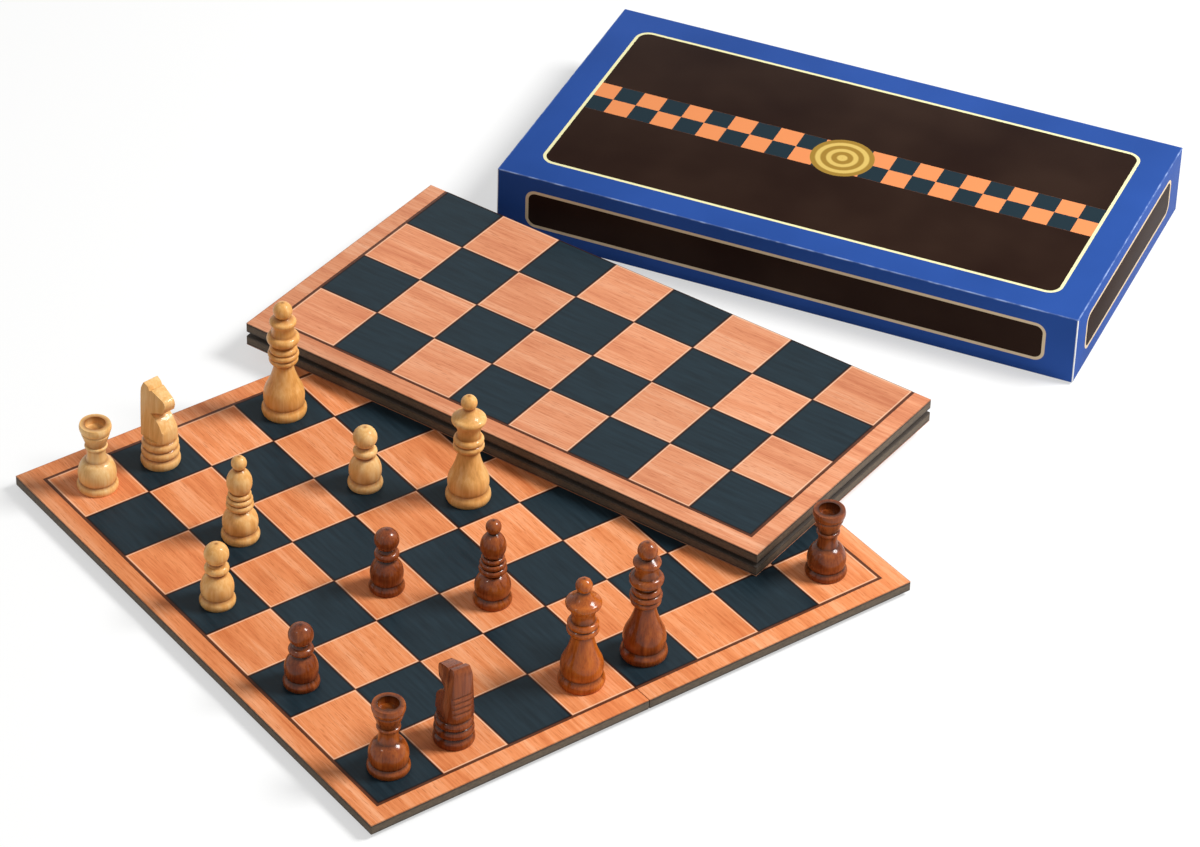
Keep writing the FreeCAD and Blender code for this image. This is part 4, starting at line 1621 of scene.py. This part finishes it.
@dataclass(frozen=True)
class Leaf:
    """One leaf of a board: fibreboard, printed face, feet, hinge plates and screws."""

    name: str
    place: Matrix
    seed: int
    finishes: Finishes
    first_tone: int = 1
    small: LeafPieces = LeafPieces()

    def build(self) -> list[Piece]:
        """Build every piece of the leaf.

        Returns:
            The pieces.
        """
        plates = dress_node(f"{self.name}_hinge_plates", self.finishes.hinge)
        return [self.core(), *self.face(), self.feet(), self.screws(), plates]

    def put(self, piece: Piece, node: str) -> Piece:
        """Move a piece from the leaf's own frame to its place and bind it to its node.

        Args:
            piece: a piece in the leaf's frame.
            node: the node that it replaces, without the leaf's name.

        Returns:
            The piece.
        """
        piece.data.transform(self.place)
        return bind(piece, f"{self.name}_{node}")

    def slab(self, name: str, low: float, high: float, width: float) -> Piece:
        """Make a sheet or board of the leaf's size with eased edges.

        Args:
            name: name of the piece.
            low: height of its underside over the hinge axis.
            high: height of its upper side.
            width: size of the easing.

        Returns:
            The piece, in the leaf's frame.
        """
        shape = bmesh.new()
        block(shape, Vector((BOARD.seam, -BOARD.half_length, low)) * MM,
              Vector((BOARD.width, BOARD.half_length, high)) * MM)
        piece = rounded(name, shape, width)
        smooth(piece.data, FLAT_SHARP)
        mark_own(piece.data)
        return piece

    def core(self) -> Piece:
        """Build the fibreboard.

        Returns:
            The piece.
        """
        under, over = BOARD.underside, BOARD.underside + BOARD.core
        piece = self.slab(f"{self.name}_board", under, over, BOARD.edge_round)
        piece.data.materials.append(self.finishes.fibre)
        return self.put(piece, "core")

    def face(self) -> tuple[Piece, Piece]:
        """Build the printed sheet and its squares.

        Returns:
            The sheet and the squares that lie on it.
        """
        board = BoardState(self.name.split("_")[0])
        under, top = BOARD.underside + BOARD.core, BOARD.top
        piece = self.slab(f"{self.name}_print", under, top - BOARD.tile_rise, BOARD.sheet_round)
        piece.data.materials.append(self.finishes.border[board])
        tiles = run_group(f"{self.name}_squares", chequer_group(), [(0, 0, 0)], {
            "Square": BOARD.square * MM, "Files": BOARD.files, "Ranks": BOARD.ranks,
            "First": self.first_tone, "Seed": self.seed, "Material": self.finishes.field[board],
        })
        middle = BOARD.files * BOARD.square / 2
        tiles.transform(Matrix.Translation(Vector((middle, 0.0, top)) * MM))
        for vertex in tiles.vertices:
            vertex.co.x = max(vertex.co.x, BOARD.seam * MM)
        mark_own(tiles)
        squares = new_piece(f"{self.name}_squares", tiles)
        self.put(piece, "face")
        squares.data.transform(self.place)
        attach(squares, body_with(f"{self.name}_face"))
        return piece, squares

    def copies(self, name: str, pattern: Piece, points: list, material: Material) -> Piece:
        """Put copies of a pattern piece on points.

        Args:
            name: what the copies are, without the leaf's name.
            pattern: the piece to copy, which is then removed.
            points: where the copies go, in millimetres.
            material: what they are made of.

        Returns:
            All copies as one piece, in the leaf's frame.
        """
        whole_name = f"{self.name}_{name}"
        mesh = run_group(whole_name, copies_group(), [Vector(point) * MM for point in points], {
            "Piece": pattern, "Seed": self.seed, "Material": material,
        })
        discard(pattern)
        return new_piece(whole_name, mesh)

    def feet(self) -> Piece:
        """Build the felt feet.

        Returns:
            The piece.
        """
        small = self.small
        shape = bmesh.new()
        cylinder(shape, small.foot_sides, small.foot_radius, small.foot_height)
        pattern = rounded("foot", shape, small.foot_round)
        smooth(pattern.data, TURNED_SHARP)
        columns = (small.foot_seam, BOARD.width - small.foot_edge)
        rows = (BOARD.half_length - small.foot_end,
                small.foot_end + small.foot_stagger - BOARD.half_length)
        height = BOARD.underside - small.foot_height / 2
        points = [(x, y, height) for x in columns for y in rows]
        feet = self.copies("felt_feet", pattern, points, self.finishes.felt)
        return self.put(feet, "feet")

    def screws(self) -> Piece:
        """Build the slotted hinge screws.

        Returns:
            The piece.
        """
        small = self.small
        under = BOARD.underside - small.hinge_plate
        seat = under + small.head_height
        shape = bmesh.new()
        half_slot = small.slot_width / 2 * MM
        reach = small.head_radius * MM
        edge = math.acos(half_slot / reach)
        steps = range(-small.head_steps, small.head_steps + 1)
        angles = [edge * step / small.head_steps for step in steps]
        for side in (-1, 1):
            lower, upper = (
                [shape.verts.new((side * math.cos(angle) * reach, math.sin(angle) * reach, z * MM))
                 for angle in angles] for z in (under, seat))
            shape.faces.new(lower)
            shape.faces.new(upper)
            walls(shape, lower, upper)
        across = math.sqrt(reach ** 2 - half_slot ** 2)
        block(shape, Vector((-half_slot, -across, (under + small.slot_depth) * MM)),
              Vector((half_slot, across, seat * MM)))
        shank = cylinder(shape, small.shank_sides, small.shank_radius, small.shank_end - seat)
        middle = (small.shank_end + seat) / 2
        bmesh.ops.translate(shape, verts=shank, vec=(0, 0, middle * MM))
        pattern = new_piece("screw", mesh_of("screw", shape))
        half_spacing = small.screw_spacing / 2
        points = [(small.screw_place, side * small.hinge_offset + end * half_spacing, 0.0)
                  for side in (-1, 1) for end in (-1, 1)]
        screws = self.copies("slotted_screws", pattern, points, self.finishes.screw)
        return self.put(screws, "hinge_screws")


@dataclass(frozen=True)
class Tray:
    """A card tray or lid: five walls of one sheet, with eased edges, in millimetres."""

    node: str
    material: Material
    opens_down: bool
    card: float = 1.5
    edge_round: float = 0.45

    def build(self) -> Piece:
        """Build the tray from its node's box.

        Returns:
            The piece.
        """
        low, high = (corner.copy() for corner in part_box(self.node))
        wall = Vector((self.card, self.card, 0.0)) * MM
        closed, opened = (high.z, low.z) if self.opens_down else (low.z, high.z)
        inner_floor = closed + (-self.card if self.opens_down else self.card) * MM
        outside, inside = (low, high), (low + wall, high - wall)
        shape = bmesh.new()
        rings = []
        for (first, last), z in ((outside, closed), (outside, opened), (inside, opened),
                                 (inside, inner_floor)):
            corners = ((first.x, first.y), (last.x, first.y), (last.x, last.y), (first.x, last.y))
            rings.append([shape.verts.new((x, y, z)) for x, y in corners])
        shape.faces.new(rings[0])
        shape.faces.new(rings[-1])
        for first, second in zip(rings, rings[1:]):
            walls(shape, first, second)
        piece = rounded(f"{self.node}_card", shape, self.edge_round)
        smooth(piece.data, FLAT_SHARP)
        piece.data.materials.append(self.material)
        return bind(piece, self.node)


@dataclass(frozen=True)
class StandingMan:
    """A man in play: its node, kind, how warm its stain is and its facing, in degrees."""

    node: str
    kind: Kind
    stain: float
    facing: float = 0.0


@dataclass(frozen=True)
class StoredMen:
    """Men that lie in the box in rows: their node, kind, columns and rows."""

    node: str
    kind: Kind
    columns: int = 1
    rows: int = 1


@dataclass(frozen=True)
class ChessSet:
    """Both boards, the men and the storage box."""

    finishes: Finishes
    in_play: tuple[StandingMan, ...] = (
        StandingMan("light_rook", Kind.ROOK, 0.2),
        StandingMan("light_knight", Kind.KNIGHT, 0.35, -84.0),
        StandingMan("light_bishop", Kind.BISHOP, 0.55),
        StandingMan("light_king", Kind.KING, 0.8),
        StandingMan("light_queen", Kind.QUEEN, 0.6),
        StandingMan("light_pawn_front", Kind.PAWN, 0.6),
        StandingMan("light_pawn_back", Kind.PAWN, 0.3),
        StandingMan("dark_rook_near", Kind.ROOK, 0.5),
        StandingMan("dark_rook_right", Kind.ROOK, 0.2),
        StandingMan("dark_knight", Kind.KNIGHT, 0.15, 87.0),
        StandingMan("dark_bishop", Kind.BISHOP, 0.45),
        StandingMan("dark_queen", Kind.QUEEN, 1.0),
        StandingMan("dark_king", Kind.KING, 0.4),
        StandingMan("dark_pawn_front", Kind.PAWN, 0.15),
        StandingMan("dark_pawn_back", Kind.PAWN, 0.2),
    )
    in_box: tuple[StoredMen, ...] = (
        StoredMen("stored_light_pawns", Kind.PAWN, 3, 2),
        StoredMen("stored_light_rook", Kind.ROOK),
        StoredMen("stored_light_knight", Kind.KNIGHT),
        StoredMen("stored_light_bishop", Kind.BISHOP),
        StoredMen("stored_dark_pawns", Kind.PAWN, 3, 2),
        StoredMen("stored_dark_knight", Kind.KNIGHT),
        StoredMen("stored_dark_bishop", Kind.BISHOP),
    )
    stored_stain: float = 0.4
    stored_seed_step: int = 7
    first_leaf_seed: int = 3

    def build(self) -> list[Piece]:
        """Build every visible piece.

        Returns:
            The pieces, in the order of their making.
        """
        opened = board_place("open_board_fold", -1)
        return [*self.leaves(opened), *self.men_in_play(opened), *self.men_in_box(), *self.box()]

    def leaves(self, opened: Matrix) -> list[Piece]:
        """Build the leaves of both boards.

        Args:
            opened: place of the open board.

        Returns:
            The pieces.
        """
        folded = board_place("folded_board_open", 1)
        about = Matrix.Rotation(math.pi, 4, "Z")
        over = Matrix.Rotation(math.pi, 4, "Y")
        places = {"open_right": opened, "open_left": opened @ about,
                  "folded_lower": folded @ over, "folded_upper": folded @ about}
        pieces = []
        for seed, (name, place) in enumerate(places.items(), start=self.first_leaf_seed):
            pieces += Leaf(name, place, seed, self.finishes).build()
        return pieces + [dress_node(node, self.finishes.hinge)
                         for node in ("open_hinge_pins", "folded_hinge_pins")]

    def men_in_play(self, board: Matrix) -> list[Piece]:
        """Stand the men on their squares.

        Args:
            board: place of the open board.

        Returns:
            The men.
        """
        pieces = []
        for seed, man in enumerate(self.in_play, start=1):
            low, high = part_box(man.node)
            turn = board.to_euler().z + math.radians(man.facing)
            spot = Vector(((low.x + high.x) / 2, (low.y + high.y) / 2, low.z))
            place = Matrix.Translation(spot) @ Matrix.Rotation(turn, 4, "Z")
            turned = Chessman(man.node, man.kind, seed, man.stain)
            pieces.append(turned.build([place], self.finishes))
        return pieces

    def men_in_box(self) -> list[Piece]:
        """Lay the stored men where their nodes are.

        Returns:
            The men, one piece for a node.
        """
        lying = Matrix.Rotation(math.pi / 2, 4, "Y")
        pieces = []
        for seed, men in enumerate(self.in_box, start=len(self.in_play) + 1):
            low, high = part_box(men.node)
            half = (high.z - low.z) / 2
            room_x = high.x - low.x - MEN[men.kind].height * MM
            room_y = high.y - low.y - 2 * half
            places = []
            for column in range(men.columns):
                for row in range(men.rows):
                    y = low.y + half + room_y * column / max(men.columns - 1, 1)
                    x = low.x + room_x * row / max(men.rows - 1, 1)
                    places.append(Matrix.Translation((x, y, low.z + half)) @ lying)
            turned = Chessman(men.node, men.kind, seed * self.stored_seed_step, self.stored_stain)
            pieces.append(turned.build(places, self.finishes))
        return pieces

    def box(self) -> list[Piece]:
        """Build the tray and the lid, and dress what stays inside.

        Returns:
            The pieces.
        """
        finishes = self.finishes
        inside = {"base_corner_stays": finishes.stay, "lid_corner_stays": finishes.stay,
                  "divider_long": finishes.grey, "dividers_cross": finishes.grey}
        return [Tray("box_base", finishes.tray, opens_down=False).build(),
                Tray("box_lid", finishes.lid, opens_down=True).build(),
                *(dress_node(node, material) for node, material in inside.items())]


# Studio

WHITE = (1.0, 1.0, 1.0, 1.0)


def backdrop_ray(graph: Graph) -> Socket:
    """Tell which rays show the backdrop.

    Args:
        graph: the tree of the floor or the world.

    Returns:
        One for a ray to the camera, in a mirror or through glass.
    """
    path = graph.add(Op.RAY)
    seen = path["Is Camera Ray"]
    for kind in ("Is Glossy Ray", "Is Transmission Ray"):
        seen = graph.add(Op.MAXIMUM, seen, path[kind])
    return seen


@dataclass(frozen=True)
class Lamp:
    """A soft square lamp: place and size in metres, power in watts."""

    name: str
    place: tuple
    size: float
    power: float


@dataclass(frozen=True)
class Studio:
    """Camera, lamps, world and floor, in metres."""

    eye: tuple = (0.70748, -2.08108, 1.52033)
    sight: tuple = (-0.30417, 0.73285, -0.60861)
    upward: tuple = (-0.25597, 0.55252, 0.79323)
    focal_share: float = 4.2162
    aim_right: float = 0.0082
    aim_up: float = 0.0068
    sensor_mm: float = 36.0
    sight_end: float = 50.0
    lamps: tuple[Lamp, ...] = (
        Lamp("key", (1.5, 0.45, 2.0), 0.8, 82.0),
        Lamp("fill", (-0.75, -1.7, 1.5), 0.2, 3.5),
    )
    lit_place: tuple = (-0.05, -0.25, 0.0)
    world_light: float = 0.28
    floor_half: float = 12.0
    floor_drop: float = 0.0002
    floor_glow: float = 0.55

    def camera(self) -> None:
        """Place the camera at the photograph's viewing angle."""
        data = bpy.data.cameras.new("camera")
        data.sensor_width = self.sensor_mm
        data.lens = self.focal_share * self.sensor_mm
        data.clip_end = self.sight_end
        forward = Vector(self.sight).normalized()
        right = forward.cross(Vector(self.upward)).normalized()
        upward = right.cross(forward)
        forward = (forward + self.aim_right * right + self.aim_up * upward).normalized()
        right = forward.cross(upward).normalized()
        upward = right.cross(forward)
        axes = Matrix((right, upward, -forward)).transposed().to_4x4()
        camera = bpy.data.objects.new("camera", data)
        camera.matrix_world = Matrix.Translation(self.eye) @ axes
        bpy.context.scene.collection.objects.link(camera)
        bpy.context.scene.camera = camera

    def light(self) -> None:
        """Add the lamps, which point at the boards, and an even pale world."""
        for row in self.lamps:
            data = bpy.data.lights.new(row.name, "AREA")
            data.size = row.size
            data.energy = row.power
            lamp = bpy.data.objects.new(row.name, data)
            lamp.location = row.place
            aim = Vector(self.lit_place) - Vector(row.place)
            lamp.rotation_euler = aim.to_track_quat("-Z", "Y").to_euler()
            bpy.context.scene.collection.objects.link(lamp)
        world = bpy.data.worlds.new("world")
        world.use_nodes = True
        graph = Graph(world.node_tree)
        graph.tree.nodes.clear()
        strength = graph.add(Op.SPAN, backdrop_ray(graph), 0.0, 1.0, self.world_light, 1.0)
        graph.add(Op.WORLD, graph.add(Op.SKY, WHITE, strength))
        bpy.context.scene.world = world

    def floor(self) -> None:
        """Lay a plain pale floor under the set."""
        shape = bmesh.new()
        bmesh.ops.create_grid(shape, x_segments=1, y_segments=1, size=self.floor_half)
        # Matt white paper that keeps the shadows and fades into the backdrop
        paper = Shade("floor")
        matt = paper.add(Op.MATT, Colour.FLOOR)
        glow = paper.add(Op.GLOW, WHITE, 1.0)
        share = paper.add(Op.MULTIPLY, backdrop_ray(paper), self.floor_glow)
        paper.add(Op.SURFACE, paper.add(Op.LAYERS, share, matt, glow))
        floor = new_piece("floor", mesh_of("floor", shape), paper.material)
        floor.location.z = -self.floor_drop


def main() -> None:
    """Build the set and its studio, and report each piece."""
    log.setLevel(logging.INFO)
    log.addHandler(logging.StreamHandler())
    bpy.context.scene.view_settings.view_transform = "Standard"
    for piece in ChessSet(Finishes.make()).build():
        log.info("%s, %d faces", piece.name, len(piece.data.polygons))
    studio = Studio()
    studio.camera()
    studio.light()
    studio.floor()


if __name__ == "__main__":
    main()
